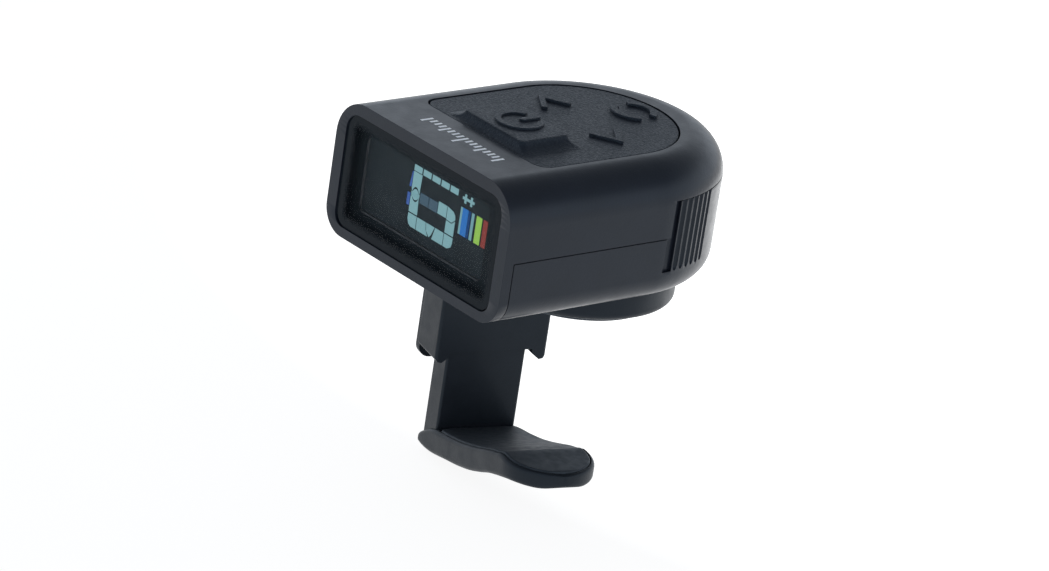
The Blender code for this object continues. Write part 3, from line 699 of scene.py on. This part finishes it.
def make_upper_shell():
    """Top, upper walls and bezel, with the window's opening and the keypad's."""
    window = rounded_rect(-WINDOW_HALF, WINDOW_HALF, WINDOW_BOTTOM, WINDOW_TOP, WINDOW_RADIUS)
    shell = cut(
        outer_head(),
        cavity(WINDOW_BOTTOM),
        extrude(window, behind(-1.0), behind(1.6), "y"),
        extrude(seam_outline(0.0, behind(BEZEL_DEPTH)), -20.0, 20.0, "x"),
    )
    shell = fuse(shell, *boss_posts(BOSS_RADIUS, HEAD_HEIGHT - 5.65, 12.9, 24))
    shell = cut(shell, extrude(mat_outline(0.0), 11.0, 16.0), *boss_posts(PILOT_RADIUS, 7.0, 11.4, 16))
    bevel(shell, 0.05, 2, 50.0)
    finish_piece("upper_shell_skin", shell, HEAD, "shell", "housing", "shell_plastic", "upper_shell")


def flutes(side):
    """Upright half-round flutes round one side of the tail."""
    across, along = HEAD_WIDTH / 2 + FLUTE_LIFT, TAIL_DEPTH + FLUTE_LIFT
    profile = [(0.1, GRIP_BOTTOM), (0.26, 3.3), (FLUTE_RADIUS, 3.6), (FLUTE_RADIUS, RIM_HEIGHT + 1)]
    shapes = []
    for i in range(FLUTE_COUNT):
        turn = radians(FLUTE_START + FLUTE_STEP * i)
        centre = (side * across * cos(turn), behind(SIDE_LENGTH) + along * sin(turn))
        shapes.append(turned(profile, 14, centre))
    return shapes


def grips():
    """What the two finger grips cut from the tray: a shallow recess and its flutes, each side."""
    shapes = []
    for side in (-1, 1):
        low, high = sorted((side * (HEAD_WIDTH / 2 - GRIP_RECESS_DEPTH), side * (HEAD_WIDTH / 2 + 2)))
        rear_low = (low, behind(GRIP_START - 0.5), GRIP_BOTTOM)
        shapes.append(brick(rear_low, (high, behind(GRIP_RECESS_END), RIM_HEIGHT + 1)))
        shapes += flutes(side)
    return shapes


def above_seam(front):
    """Side view of what the tray leaves to the upper shell."""
    seam = seam_outline(SEAM, front)
    ahead, rear = behind(-3.0), seam[2][0]
    return [(ahead, -2.0), (front, -2.0), *seam[5:1:-1], (rear, 20.0), (ahead, 20.0)]


def make_lower_shell():
    """The battery tray, with its grips, its cell wall and its swivel boss."""
    keep_out = above_seam(behind(BEZEL_DEPTH) + SEAM)
    shell = cut(outer_head(), cavity(FLOOR), extrude(keep_out, -20.0, 20.0, "x"))
    shell = cut(shell, *grips())
    centre = (0.0, behind(CELL_WALL_CENTRE))
    wall = arc(centre, CELL_WALL_OUTER, -50.0, 230.0, 64)
    wall += arc(centre, CELL_WALL_INNER, 230.0, -50.0, 64)
    shell = fuse(shell, turned([(2.8, -1.35), (2.8, 0.6)], 40), extrude(wall, 0.8, 3.6))
    shell = cut(shell, turned([(1.0, -2.0), (1.0, 0.8)], 24))
    bevel(shell, 0.05, 2, 50.0)
    finish_piece("lower_shell_skin", shell, HEAD, "shell", "tray", "shell_plastic", "lower_shell")


# ---- display


def make_window():
    """The clear pane let into the bezel."""
    inset = 0.1
    half = WINDOW_HALF - inset
    outline = rounded_rect(-half, half, WINDOW_BOTTOM + inset, WINDOW_TOP - inset, WINDOW_RADIUS - inset)
    near, far = PANE_DEPTHS
    pane = bevel(extrude(outline, behind(near), behind(far), "y"), 0.12, 3)
    finish_piece("window_pane", pane, HEAD, "window", "housing", "window", "display_window")


def gathered(shapes):
    """Separate bmeshes in one."""
    whole = bmesh.new()
    for shape in shapes:
        scratch = bpy.data.meshes.new("scratch")
        shape.to_mesh(scratch)
        shape.free()
        whole.from_mesh(scratch)
        bpy.data.meshes.remove(scratch)
    return whole


def cell_piece(name, outlines, finish):
    """Thin cells on the display's face; outlines are (x, z) lists."""
    near, far = CELL_DEPTHS
    cells = gathered([extrude(outline, behind(near), behind(far), "y") for outline in outlines])
    finish_piece(name, cells, HEAD, finish, "housing", "lcd_glass")


def column(index):
    """Left and right edge of one column of cells."""
    left = CELL_LEFT + CELL_PITCH * index
    return left, left + CELL_WIDTH


def left_side_cells():
    """The figure's tall left side: three cells parted by two arcs."""
    left, right = column(0)
    middle = (left + right) / 2
    bulge = arc((middle, 6.55), (0.62, 1.2), 20.0, 160.0, 10)
    saddle = arc((middle, 7.75), (0.66, 1.1), 200.0, 340.0, 10)
    under = arc((middle, 6.7), (0.66, 1.28), 145.0, 35.0, 8)
    over = arc((middle, 7.6), (0.66, 1.15), 215.0, 325.0, 8)
    return [
        [(left, 9.4), (left, 7.65)] + under + [(right, 9.4)],
        bulge + saddle,
        [(left, 6.85)] + over + [(right, 5.3), (left, 5.3)],
    ]


def bottom_row_cells():
    """The lower loop's floor: slanted joints, and round outer corners."""
    low, high = ROW_BOTTOM
    (a, b), (c, d), (e, f), (g, h), (j, k) = (column(i) for i in range(5))
    return [
        [(a + 0.55, low), (b, low), (b, high), (a, high), (a, low + 0.65), (a + 0.2, low + 0.2)],
        [(c, low), (d + 0.5, low), (d + 0.15, low + 0.5), (d, high), (c, high)],
        [(e + 0.62, low + 0.02), (e + 0.85, low + 0.3), (f, high), (e, high), (e + 0.15, low + 0.5)],
        [(g - 0.35, low), (h, low), (h, high), (g, high), (g - 0.25, low + 0.3)],
        [(j, low), (k - 0.6, low), (k - 0.15, low + 0.25), (k, low + 0.7), (k, high), (j, high)],
    ]


def right_side_cells():
    """The lower loop's right side: two cells parted by a slant."""
    left, right = column(4)
    return [
        [(left, 5.3), (right, 5.3), (right, 6.85), (left + 0.8, 6.45), (left, 6.5)],
        [
            (left, 6.62), (left + 0.8, 6.57), (right, 7.0),
            (right - 0.1, 7.4), (right - 0.4, 7.7), (left, 7.9),
        ],
    ]


def make_figure():
    """The note figure: a broken top row, a tall left side, and a lower loop of cells."""
    teal = [block(column(i)[0], column(i)[1] - 0.1, *ROW_TOP) for i in range(5)]
    teal += left_side_cells() + bottom_row_cells() + right_side_cells()
    teal.append(block(*column(3), *ROW_MIDDLE))
    cell_piece("display_cells_teal", teal, "teal")
    dim = [block(*column(i), ROW_MIDDLE[0] - 0.05, ROW_MIDDLE[1] - 0.2) for i in (1, 2)]
    cell_piece("display_cells_dim", dim, "dim")
    edges = [[(-3.9, 7.75), (-3.62, 7.75), (-3.58, 9.35), (-3.66, 9.35)], block(-4.0, -3.62, 5.85, 7.1)]
    cell_piece("display_edge_blue", edges, "deep_blue")


def make_display():
    """The panel's aperture, the note figure and the colour bars beside it."""
    make_surround()
    make_figure()
    marks = []
    for x in (4.44, 5.33):
        marks.append(block(x - 0.13, x + 0.13, 9.15, 10.05))
        marks += [block(x - 0.42, x - 0.14, 9.47, 9.73), block(x + 0.14, x + 0.42, 9.47, 9.73)]
    cell_piece("display_plus_marks", marks, "teal")
    for name, *spans in (
        ("blue", (4.28, 5.1)),
        ("navy", (5.14, 5.48)),
        ("sky", (3.98, 4.24), (5.66, 6.02)),
        ("green", (6.4, 7.2)),
        ("red", (7.46, 8.08)),
    ):
        bars = [block(left, right, *BAR_ROW) for left, right in spans]
        cell_piece(f"display_bar_{name}", bars, name)


def upright_ring(depth, edges, corner):
    """A rounded rectangle that stands this far behind the front face."""
    return [(x, behind(depth), z) for x, z in rounded_rect(*edges, corner, 6)]


def make_surround():
    """Dark plate round the display's lit area, its opening bevelled towards the panel."""
    near, far = SURROUND_DEPTHS
    outer = (-11.8, 11.8, 1.3, 12.35)
    rings = [
        upright_ring(near, outer, 1.4),
        upright_ring(near, (-11.75, 9.0, 2.0, 11.0), 0.9),
        upright_ring(far, (-10.75, 8.25, 2.5, 10.4), 0.8),
        upright_ring(far, outer, 1.4),
    ]
    finish_piece("display_surround", hoop(rings), HEAD, "surround", "housing", "foam_rubber", "lcd_gasket")


def make_print():
    """A plain tick scale printed on the top, in front of the keypad."""
    ticks = []
    for i in range(-TICK_COUNT, TICK_COUNT + 1):
        length = 2.0 if i == 0 else (1.5 if i % 4 == 0 else 0.9)
        x = TICK_CENTRE + i * TICK_STEP
        front, foot = behind(TICK_FOOT - length), behind(TICK_FOOT)
        outline = block(x - TICK_HALF_WIDTH, x + TICK_HALF_WIDTH, front, foot)
        ticks.append(extrude(outline, HEAD_HEIGHT - 0.01, HEAD_HEIGHT + 0.012))
    finish_piece("tick_scale_print", gathered(ticks), HEAD, "print", "housing", "shell_plastic")


# ---- keypad


ROUND_KEYS = (
    ("left_key", LEFT_KEY, KEY_RADIUS),
    ("right_key", RIGHT_KEY, KEY_RADIUS),
    ("mode_key", MODE_KEY, MODE_KEY_RADIUS),
)


def make_keypad():
    """The mat, with a neck and a flange under the shell's edge, and a hole for each key."""
    mat = extrude(mat_outline(-0.14), 12.6, MAT_TOP)
    bevel(mat, 0.12, 3, 60.0)
    mat = fuse(mat, extrude(mat_outline(-0.5), 12.1, 12.8), extrude(mat_outline(0.2), 11.85, 12.3))
    x, y = POWER_KEY
    power_hole = [(x + a, behind(y) + b) for a, b in rounded_rect(-6.12, 6.12, -3.77, 3.52, 0.6)]
    holes = [extrude(power_hole, 10.0, 16.0)]
    for _, (x, y), radius in ROUND_KEYS:
        holes.append(turned([(radius + KEY_SEAM, 10.0), (radius + KEY_SEAM, 16.0)], 72, (x, behind(y))))
    mat = cut(mat, *holes)
    finish_piece("keypad_skin", mat, HEAD, "mat", "housing", "keypad_rubber", "keypad_mat")


def raised_mark(outline, centre, low, high, edge):
    """A mark moulded proud of its key."""
    shape = extrude([(centre[0] + a, centre[1] + b) for a, b in outline], low, high)
    return bevel(shape, edge, 2, 30.0)


def plunger(low, centre):
    """The column under a key that meets its switch."""
    return turned([(PLUNGER_RADIUS, low), (PLUNGER_RADIUS, 12.4)], 24, centre)


def chevron(side):
    """Two straight strokes of one width that meet at the tip."""
    tip, arm, rise, thick = 1.6, 1.35, 1.9, 0.62
    length = sqrt((tip + arm) ** 2 + rise**2)
    end = (arm + thick * rise / length, rise - thick * (tip + arm) / length)
    return [
        (side * tip, 0.0),
        (-side * arm, rise),
        (-side * end[0], end[1]),
        (side * (tip - thick * length / rise), 0.0),
        (-side * end[0], -end[1]),
        (-side * arm, -rise),
    ]


def round_arrow(start):
    """Half of the mode mark: a band that ends in a blunt head."""
    return arc((0, 0), 2.35, start, start + 135, 20) + arc((0, 0), 1.6, start + 135, start, 20)


def make_keys():
    """The three round keys, then the power key."""
    marks = {
        "left_key": [chevron(-1)],
        "right_key": [chevron(1)],
        "mode_key": [round_arrow(25.0), round_arrow(205.0)],
    }
    for name, (x, y), radius in ROUND_KEYS:
        centre = (x, behind(y))
        cap = turned([(radius, 12.2), (radius, MAT_TOP)], 72, centre)
        raised = [raised_mark(mark, centre, MAT_TOP - 0.3, MAT_TOP + 0.3, 0.07) for mark in marks[name]]
        key = fuse(cap, plunger(11.35, centre), *raised)
        finish_piece(f"{name}_cap", key, HEAD, "mat", name, "keypad_rubber", name)
    make_power_key()


def power_key_rings():
    """Sections of the raised pad about its own centre; its flanks sweep up to a flat crown."""
    foot = (6.1, -3.75, 3.5)
    crown = (4.5, -3.15, 2.75)
    rings = [[(a, b, 12.2) for a, b in rounded_rect(-foot[0], *foot, 0.6)]]
    steps = 10
    for i in range(steps + 1):
        t = i / steps
        sweep = sin(t * pi / 2) ** 1.5
        rise = 1 - cos(t * pi / 2)
        half, front, rear = (a + (b - a) * sweep for a, b in zip(foot, crown))
        height = MAT_TOP + (POWER_CROWN - MAT_TOP - 0.06) * rise
        rings.append([(a, b, height) for a, b in rounded_rect(-half, half, front, rear, 0.55)])
    half, front, rear = crown[0] - 0.15, crown[1] + 0.15, crown[2] - 0.15
    rings.append([(a, b, POWER_CROWN) for a, b in rounded_rect(-half, half, front, rear, 0.5)])
    return rings


def make_power_key():
    """The raised pad, with a ring and a bar moulded on its crown."""
    x, y = POWER_KEY
    key = skin([[(x + a, behind(y) + b, z) for a, b, z in ring] for ring in power_key_rings()])
    centre = (x, behind(y) + 0.1)
    ring_mark = arc((0, 0), 2.4, 122.0, 418.0, 40) + arc((0, 0), 1.75, 418.0, 122.0, 40)
    bar = rounded_rect(-0.33, 0.33, 0.1, 2.55, 0.3, 3)
    low, high = POWER_CROWN - 0.4, POWER_CROWN + 0.22
    marks = [raised_mark(outline, centre, low, high, 0.06) for outline in (ring_mark, bar)]
    key = fuse(key, plunger(11.6, (x, behind(y))), *marks)
    finish_piece("power_key_cap", key, HEAD, "mat", "power_key", "keypad_rubber", "power_key")


# ---- clamp


def sleeve_ears():
    """Two ears on the sleeve's back that carry the lever's pin."""
    ears = []
    for side in (-1, 1):
        low, high = sorted((side * EAR_INNER, side * SLEEVE_HALF_WIDTH))
        ear = arc(LEVER_AXIS, 0.95, 100.0, 260.0, 10)
        outline = [(-18.5, 2.8), (-20.3, 2.8)] + ear + [(-20.3, -1.0), (-18.5, -1.0)]
        ears.append(extrude(outline, low, high, "y"))
    return ears


def clamp_solid():
    """Swivel disc, arm, sleeve, gusset and ears in one."""
    half = SLEEVE_HALF_WIDTH
    disc = turned(rolled(DISC_RADIUS, DISC_BOTTOM, DISC_TOP, 0.7, 0.25), 96)
    arm = brick((SLEEVE_FACE - 0.5, -half + 0.4, DISC_BOTTOM + 0.3), (-5.0, half - 0.4, DISC_TOP - 0.01))
    plan = rounded_rect(SLEEVE_BACK, SLEEVE_FACE, -half, half, 0.35, 5)
    sleeve = extrude(plan, LEG_BOTTOM, DISC_TOP - 0.02)
    gusset = [(SLEEVE_FACE - 0.4, DISC_BOTTOM + 1), (SLEEVE_FACE - 0.4, -3.0)]
    gusset += arc((SLEEVE_FACE + 3.4, -3.05), 3.4, 180.0, 90.0, 8)
    gusset += [(-9.0, DISC_BOTTOM + 0.35), (-9.0, DISC_BOTTOM + 1)]
    return fuse(disc, arm, sleeve, extrude(gusset, -3.5, 3.5, "y"), *sleeve_ears())


def pin_bore():
    """The hole for the lever's pin."""
    return extrude(circle(PIN_RADIUS + PIN_CLEARANCE, 24, LEVER_AXIS), -8.0, 8.0, "y")


def sleeve_hollows():
    """The stem's channel, the lever's slot and recess, the pin's bore and the open front below."""
    half = CHANNEL_HALF_WIDTH
    below = -30.0
    return [
        brick((CHANNEL_BACK, -half, below), (CHANNEL_FACE, half, CHANNEL_TOP)),
        brick((-25.0, -2.9, below), (CHANNEL_BACK + 0.5, 2.9, CHANNEL_TOP - 0.01)),
        brick((-25.0, -EAR_INNER, -2.0), (CHANNEL_BACK + 0.2, EAR_INNER, 6.0)),
        pin_bore(),
        brick((CHANNEL_FACE - 0.3, -half + 0.01, below), (SLEEVE_FACE + 1, half - 0.01, SLEEVE_BOTTOM)),
    ]


def leg_ends():
    """What the slanted, rounded ends of the sleeve's two legs leave out."""
    ends = []
    for side in (-1, 1):
        inner, outer = side * (CHANNEL_HALF_WIDTH - 0.6), side * (SLEEVE_HALF_WIDTH + 1)
        outline = [
            (inner, LEG_BOTTOM - 1),
            (inner, SLEEVE_BOTTOM),
            (side * (SLEEVE_HALF_WIDTH - 0.75), LEG_BOTTOM),
            (side * (SLEEVE_HALF_WIDTH - 0.3), LEG_BOTTOM + 0.1),
            (side * SLEEVE_HALF_WIDTH, LEG_BOTTOM + 0.5),
            (outer, LEG_BOTTOM + 1.2),
            (outer, LEG_BOTTOM - 1),
        ]
        ends.append(extrude(outline, -25.0, 0.0, "x"))
    return ends


def make_clamp_frame():
    """The clamp's one moulding, hollowed for the stem, the lever, the upper pad and the swivel."""
    moulding = cut(clamp_solid(), *sleeve_hollows())
    moulding = cut(
        moulding,
        *leg_ends(),
        turned([(PAD_RADIUS + 0.1, -1.0), (PAD_RADIUS + 0.1, PAD_TOP + 0.1)], 96),
        turned([(4.7, -1.0), (4.7, 2.75)], 64),
        turned([(3.0, -1.0), (3.0, 6.0)], 48),
    )
    bevel(moulding, 0.12, 3, 50.0)
    finish_piece("clamp_moulding", moulding, CLAMP, "clamp", "clamp", "clamp_plastic", "clamp_frame")


def pad_groove(radius):
    """A shallow ring groove in the upper pad's face."""
    profile = [(radius - 0.22, -0.3), (radius + 0.22, -0.3), (radius + 0.14, 0.22), (radius - 0.14, 0.22)]
    turns = [2 * pi * k / 72 for k in range(72)]
    return hoop([[(r * cos(turn), r * sin(turn), z) for r, z in profile] for turn in turns])


def make_upper_pad():
    """Round rubber pad under the disc, with three ring grooves."""
    rim = arc((PAD_RADIUS - 0.35, 0.35), 0.35, -90.0, 0.0, 6)
    pad = turned([(0.02, 0.0)] + rim + [(PAD_RADIUS, PAD_TOP), (0.02, PAD_TOP)], 96)
    pad = cut(pad, *[pad_groove(radius) for radius in PAD_GROOVES])
    finish_piece("upper_pad_rubber", pad, CLAMP, "pad", "clamp", "pad_rubber", "upper_pad")


def lever_plate():
    """The lever's flat plate, round at its two lower corners."""
    half = SLEEVE_HALF_WIDTH - 0.4
    top = -1.35
    outline = [(-half, top)]
    outline += arc((-half + 1.2, LEVER_BOTTOM + 1.2), 1.2, 180.0, 270.0, 8)
    outline += arc((half - 1.2, LEVER_BOTTOM + 1.2), 1.2, 270.0, 360.0, 8)
    outline += [(half, top)]
    neck = brick((LEVER_BACK, -4.5, top - 0.5), (LEVER_FACE, 4.5, 1.2))
    return extrude(outline, LEVER_BACK, LEVER_FACE, "x"), neck


def thumb_ribs():
    """Three low ribs across the lever's lower end."""
    ribs = []
    deep, proud = LEVER_BACK + 0.2, LEVER_BACK - 0.22
    for i in range(3):
        z = LEVER_BOTTOM + 1.0 + i * 0.9
        profile = [(deep, z), (proud, z + 0.12), (proud, z + 0.33), (deep, z + 0.45)]
        ribs.append(extrude(profile, -4.2, 4.2, "y"))
    return ribs


def make_release_lever():
    """The lever: plate, neck, barrel on the pin, pawl towards the rack, and thumb ribs."""
    plate, neck = lever_plate()
    barrel = extrude(circle(0.92, 32, LEVER_AXIS), -4.49, 4.49, "y")
    pawl = extrude([(LEVER_FACE - 0.3, -7.2), (-18.95, -7.4), (LEVER_FACE - 0.3, -9.0)], -2.3, 2.3, "y")
    lever = fuse(plate, neck, barrel, pawl, *thumb_ribs())
    lever = cut(lever, brick((-22.5, -KNUCKLE_HALF, -0.7), (-18.5, KNUCKLE_HALF, 2.9)), pin_bore())
    bevel(lever, 0.1, 2, 45.0)
    finish_piece(
        "release_lever_plate", lever, CLAMP, "clamp", "release_lever", "clamp_plastic", "release_lever"
    )


def make_lever_spring():
    """Torsion spring round the pin, between the lever's two knuckles."""
    across = Vector((0.0, 1.0, 0.0))
    angles = [2 * pi * k / 10 for k in range(10)]
    rings = []
    for i in range(int(SPRING_TURNS * SPRING_STEPS) + 1):
        turn = 2 * pi * i / SPRING_STEPS
        outward = Vector((sin(turn), 0.0, cos(turn)))
        along = SPRING_PITCH * (i / SPRING_STEPS - SPRING_TURNS / 2)
        x, z = LEVER_AXIS[0] + SPRING_RADIUS * sin(turn), LEVER_AXIS[1] + SPRING_RADIUS * cos(turn)
        spokes = [cos(a) * outward + sin(a) * across for a in angles]
        rings.append([Vector((x, along, z)) + SPRING_WIRE_RADIUS * spoke for spoke in spokes])
    finish_piece("lever_spring_coil", skin(rings), CLAMP, "steel", "clamp", "nickel_steel", "lever_spring")


# ---- jaw


def along_foot(u, column):
    """Height of the foot's underside (1) or rim (2) at u, on a smooth curve through its stations."""
    points = [(row[0], row[column]) for row in FOOT_STATIONS]
    if u <= points[0][0]:
        return points[0][1]
    for i in range(len(points) - 1):
        (x0, z0), (x1, z1) = points[i], points[i + 1]
        if u <= x1:
            before, after = points[max(i - 1, 0)], points[min(i + 2, len(points) - 1)]
            span = x1 - x0
            slope0 = (z1 - before[1]) / (x1 - before[0])
            slope1 = (after[1] - z0) / (after[0] - x0)
            t = (u - x0) / span
            ends = (2 * t**3 - 3 * t**2 + 1) * z0 + (3 * t**2 - 2 * t**3) * z1
            return ends + (t**3 - 2 * t**2 + t) * slope0 * span + (t**3 - t**2) * slope1 * span
    return points[-1][1]


def foot_half_width(u, inset):
    """Straight sides that end in a round tip."""
    radius = FOOT_HALF_WIDTH - inset
    if u < TIP_CENTRE:
        return radius
    return sqrt(max(radius**2 - (u - TIP_CENTRE) ** 2, 0.25**2))


def foot_places(rear, inset):
    """Stations from the rear to the tip, closer together round the tip."""
    straight = [rear + (TIP_CENTRE - rear) * i / 56 for i in range(56)]
    radius = FOOT_HALF_WIDTH - inset
    return straight + [TIP_CENTRE + radius * sin(radians(i * 4.4)) for i in range(21)]


def foot_rings():
    """The foot's sections from heel to tip, drawn in at both ends."""
    rings = []
    for u in foot_places(HEEL, 0.0):
        half = foot_half_width(u, 0.0)
        low, high = along_foot(u, 1), along_foot(u, 2)
        pinch = max(0.0, (HEEL_FULL - u) / 0.4) ** 2
        low, high, half = low + 0.3 * pinch, high - 0.2 * pinch, half - 0.3 * pinch
        near_tip = max(0.0, (u - TIP_TAPER) / 1.35) ** 3
        low, high = low + 0.45 * near_tip, high - 0.2 * near_tip
        edge = min(0.5, 0.42 * (high - low), 0.6 * half)
        rings.append([(u, y, z) for y, z in rounded_rect(-half, half, low, high, edge, 6)])
    return rings


def lower_pad_rings(grow, headroom):
    """The pad's sections; the pocket it lies in is the same shape, grown and open above."""
    inset = LOWER_PAD_INSET - grow
    rear = LOWER_PAD_REAR - grow
    rings = []
    for u in foot_places(rear, inset):
        half = foot_half_width(u, inset)
        corner = 1.0 - min(1.0, u - rear)
        half -= 1.0 - sqrt(1.0 - corner**2) if corner < 1.0 else 0.98
        top = along_foot(u, 2) + LOWER_PAD_PROUD
        low, high = top - LOWER_PAD_THICKNESS - grow, top + headroom
        edge = min(0.3, 0.5 * half)
        rings.append([(u, y, z) for y, z in rounded_rect(-half, half, low, high, edge, 6)])
    return rings


def rack_outline():
    """Side view of the rack's pocket in the stem's back, with its teeth."""
    floor = STEM_BACK + RACK_DEPTH
    rack = [(STEM_BACK - 1, STEM_TOP - 0.6), (floor, STEM_TOP - 0.6)]
    for i in range(TOOTH_COUNT):
        top = STEM_TOP - 0.9 - i * TOOTH_PITCH
        point = top - TOOTH_PITCH + 0.25
        rack += [(floor, top), (floor - TOOTH_HEIGHT, point), (floor, point - 0.05)]
    end = rack[-1][1] - 0.3
    return rack + [(floor, end), (STEM_BACK - 1, end)]


def make_jaw():
    """Stem and foot in one, with the rack's pocket and the pad's."""
    plan = rounded_rect(STEM_BACK, STEM_FACE, -STEM_HALF_WIDTH, STEM_HALF_WIDTH, 0.28, 5)
    jaw = fuse(extrude(plan, STEM_BOTTOM, STEM_TOP), skin(foot_rings()))
    pocket = skin(lower_pad_rings(LOWER_PAD_GAP, 2.0))
    jaw = cut(jaw, pocket, extrude(rack_outline(), -RACK_HALF_WIDTH, RACK_HALF_WIDTH, "y"))
    bevel(jaw, 0.08, 2, 50.0)
    finish_piece("jaw_moulding", jaw, CLAMP, "clamp", "lower_jaw", "clamp_plastic", "jaw_frame")


def make_lower_pad():
    """Rubber tongue along the foot."""
    pad = skin(lower_pad_rings(0.0, 0.0))
    finish_piece("lower_pad_rubber", pad, CLAMP, "pad", "lower_jaw", "pad_rubber", "lower_pad")


# ---- carried nodes


CARRIED = {
    "foam": ("lcd_gasket",),
    "white": ("backlight_led", "friction_ring"),
    "frame": ("lcd_frame",),
    "lcd": ("lcd_panel",),
    "clear": ("light_guide",),
    "amber": ("lcd_flex",),
    "board": ("main_pcb",),
    "chip": ("power_switch", "left_switch", "right_switch", "mode_switch", "mcu_chip", "amplifier_chip"),
    "ceramic": ("filter_capacitor", "supply_capacitor", "piezo_ceramic"),
    "brass": ("piezo_plate", "battery_contact_negative", "battery_contact_positive"),
    "steel": (
        "crystal_can", "coin_cell", "swivel_washer", "swivel_screw", "lever_pin",
        *(f"pcb_screw_{i}" for i in range(1, 5)),
    ),
}


def dress_carried():
    """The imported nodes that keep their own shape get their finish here."""
    for finish, names in CARRIED.items():
        for name in names:
            node = NODES[name]
            node.data.materials.clear()
            node.data.materials.append(MATERIALS[finish])


# ---- stage


def area_light(name, place, size, power):
    """A square light that faces the object."""
    light = bpy.data.lights.new(name, "AREA")
    light.shape = "RECTANGLE"
    light.size = size
    light.size_y = size
    light.energy = power
    light.color = COOL_LIGHT
    lamp = bpy.data.objects.new(name, light)
    lamp.location = place
    lamp.rotation_euler = (-Vector(place)).to_track_quat("-Z", "Y").to_euler()
    bpy.context.scene.collection.objects.link(lamp)


def make_world():
    """Pale walls all round, and a dimmer ceiling."""
    world = bpy.data.worlds.new("studio")
    world.use_nodes = True
    tree = world.node_tree
    direction = add_node(tree, "TexCoord", {}).outputs["Generated"]
    parts = add_node(tree, "SeparateXYZ", {"Vector": direction})
    strength = fall_off(tree, parts.outputs["Z"], *CEILING_RISE, HORIZON_LIGHT, CEILING_LIGHT)
    background = tree.nodes["Background"]
    background.inputs["Color"].default_value = (*COOL_LIGHT, 1.0)
    tree.links.new(strength, background.inputs["Strength"])
    bpy.context.scene.world = world


def make_floor():
    """Pale floor that glows more towards the object's rear left."""
    low = CAD_BOX[0].z - 0.0005
    bm = bmesh.new()
    bmesh.ops.create_grid(bm, x_segments=1, y_segments=1, size=3.0)
    shader = Shader("studio_floor", (0.2, 0.2, 0.2), 0.9, specular=0.0)
    shader.set("Emission Color", (1.0, 1.0, 1.0, 1.0))
    gap = shader.add("VectorMath", {0: shader.place, 1: (*FLOOR_GLOW_CENTRE, low)}, "DISTANCE")
    glow = fall_off(shader.tree, gap.outputs["Value"], 0.0, FLOOR_GLOW_RADIUS, *FLOOR_GLOW, "LINEAR")
    shader.link(glow, "Emission Strength")
    floor = new_object("floor", bm, Matrix.Translation((0.0, 0.0, low)))
    floor.data.materials.append(shader.material)


def make_stage():
    """Floor, pale surroundings and two soft lights."""
    make_floor()
    make_world()
    area_light("top_left_light", (-0.19, 0.06, 0.13), 0.11, 0.05)
    area_light("front_light", (0.15, -0.5, 0.45), 0.3, 0.25)
    bpy.context.scene.view_settings.view_transform = "Standard"


def make_camera():
    """A long lens, from the front right and a little above, tipped slightly."""
    azimuth, elevation, roll = (radians(a) for a in (CAMERA_AZIMUTH, CAMERA_ELEVATION, CAMERA_ROLL))
    back = Vector((sin(azimuth) * cos(elevation), -cos(azimuth) * cos(elevation), sin(elevation)))
    right = Vector((cos(azimuth), sin(azimuth), 0.0))
    up = back.cross(right)
    across = cos(roll) * right + sin(roll) * up
    upward = cos(roll) * up - sin(roll) * right
    target = Vector(CAMERA_AIM) + Vector((0.0, FRONT, UNDERSIDE))
    place = (target + CAMERA_ACROSS * across + CAMERA_UP * upward + CAMERA_DISTANCE * back) * MM
    camera = bpy.data.cameras.new("camera")
    camera.sensor_width = CAMERA_SENSOR
    camera.lens = CAMERA_LENS
    camera.clip_start = 0.05
    camera.clip_end = 20.0
    holder = bpy.data.objects.new("camera", camera)
    turn = Matrix((across, upward, back)).transposed().to_4x4()
    holder.matrix_world = Matrix.Translation(place) @ turn
    bpy.context.scene.collection.objects.link(holder)
    bpy.context.scene.camera = holder


def main():
    make_camera()
    make_upper_shell()
    make_lower_shell()
    make_window()
    make_display()
    make_print()
    make_keypad()
    make_keys()
    make_clamp_frame()
    make_upper_pad()
    make_release_lever()
    make_lever_spring()
    make_jaw()
    make_lower_pad()
    dress_carried()
    make_stage()


main()
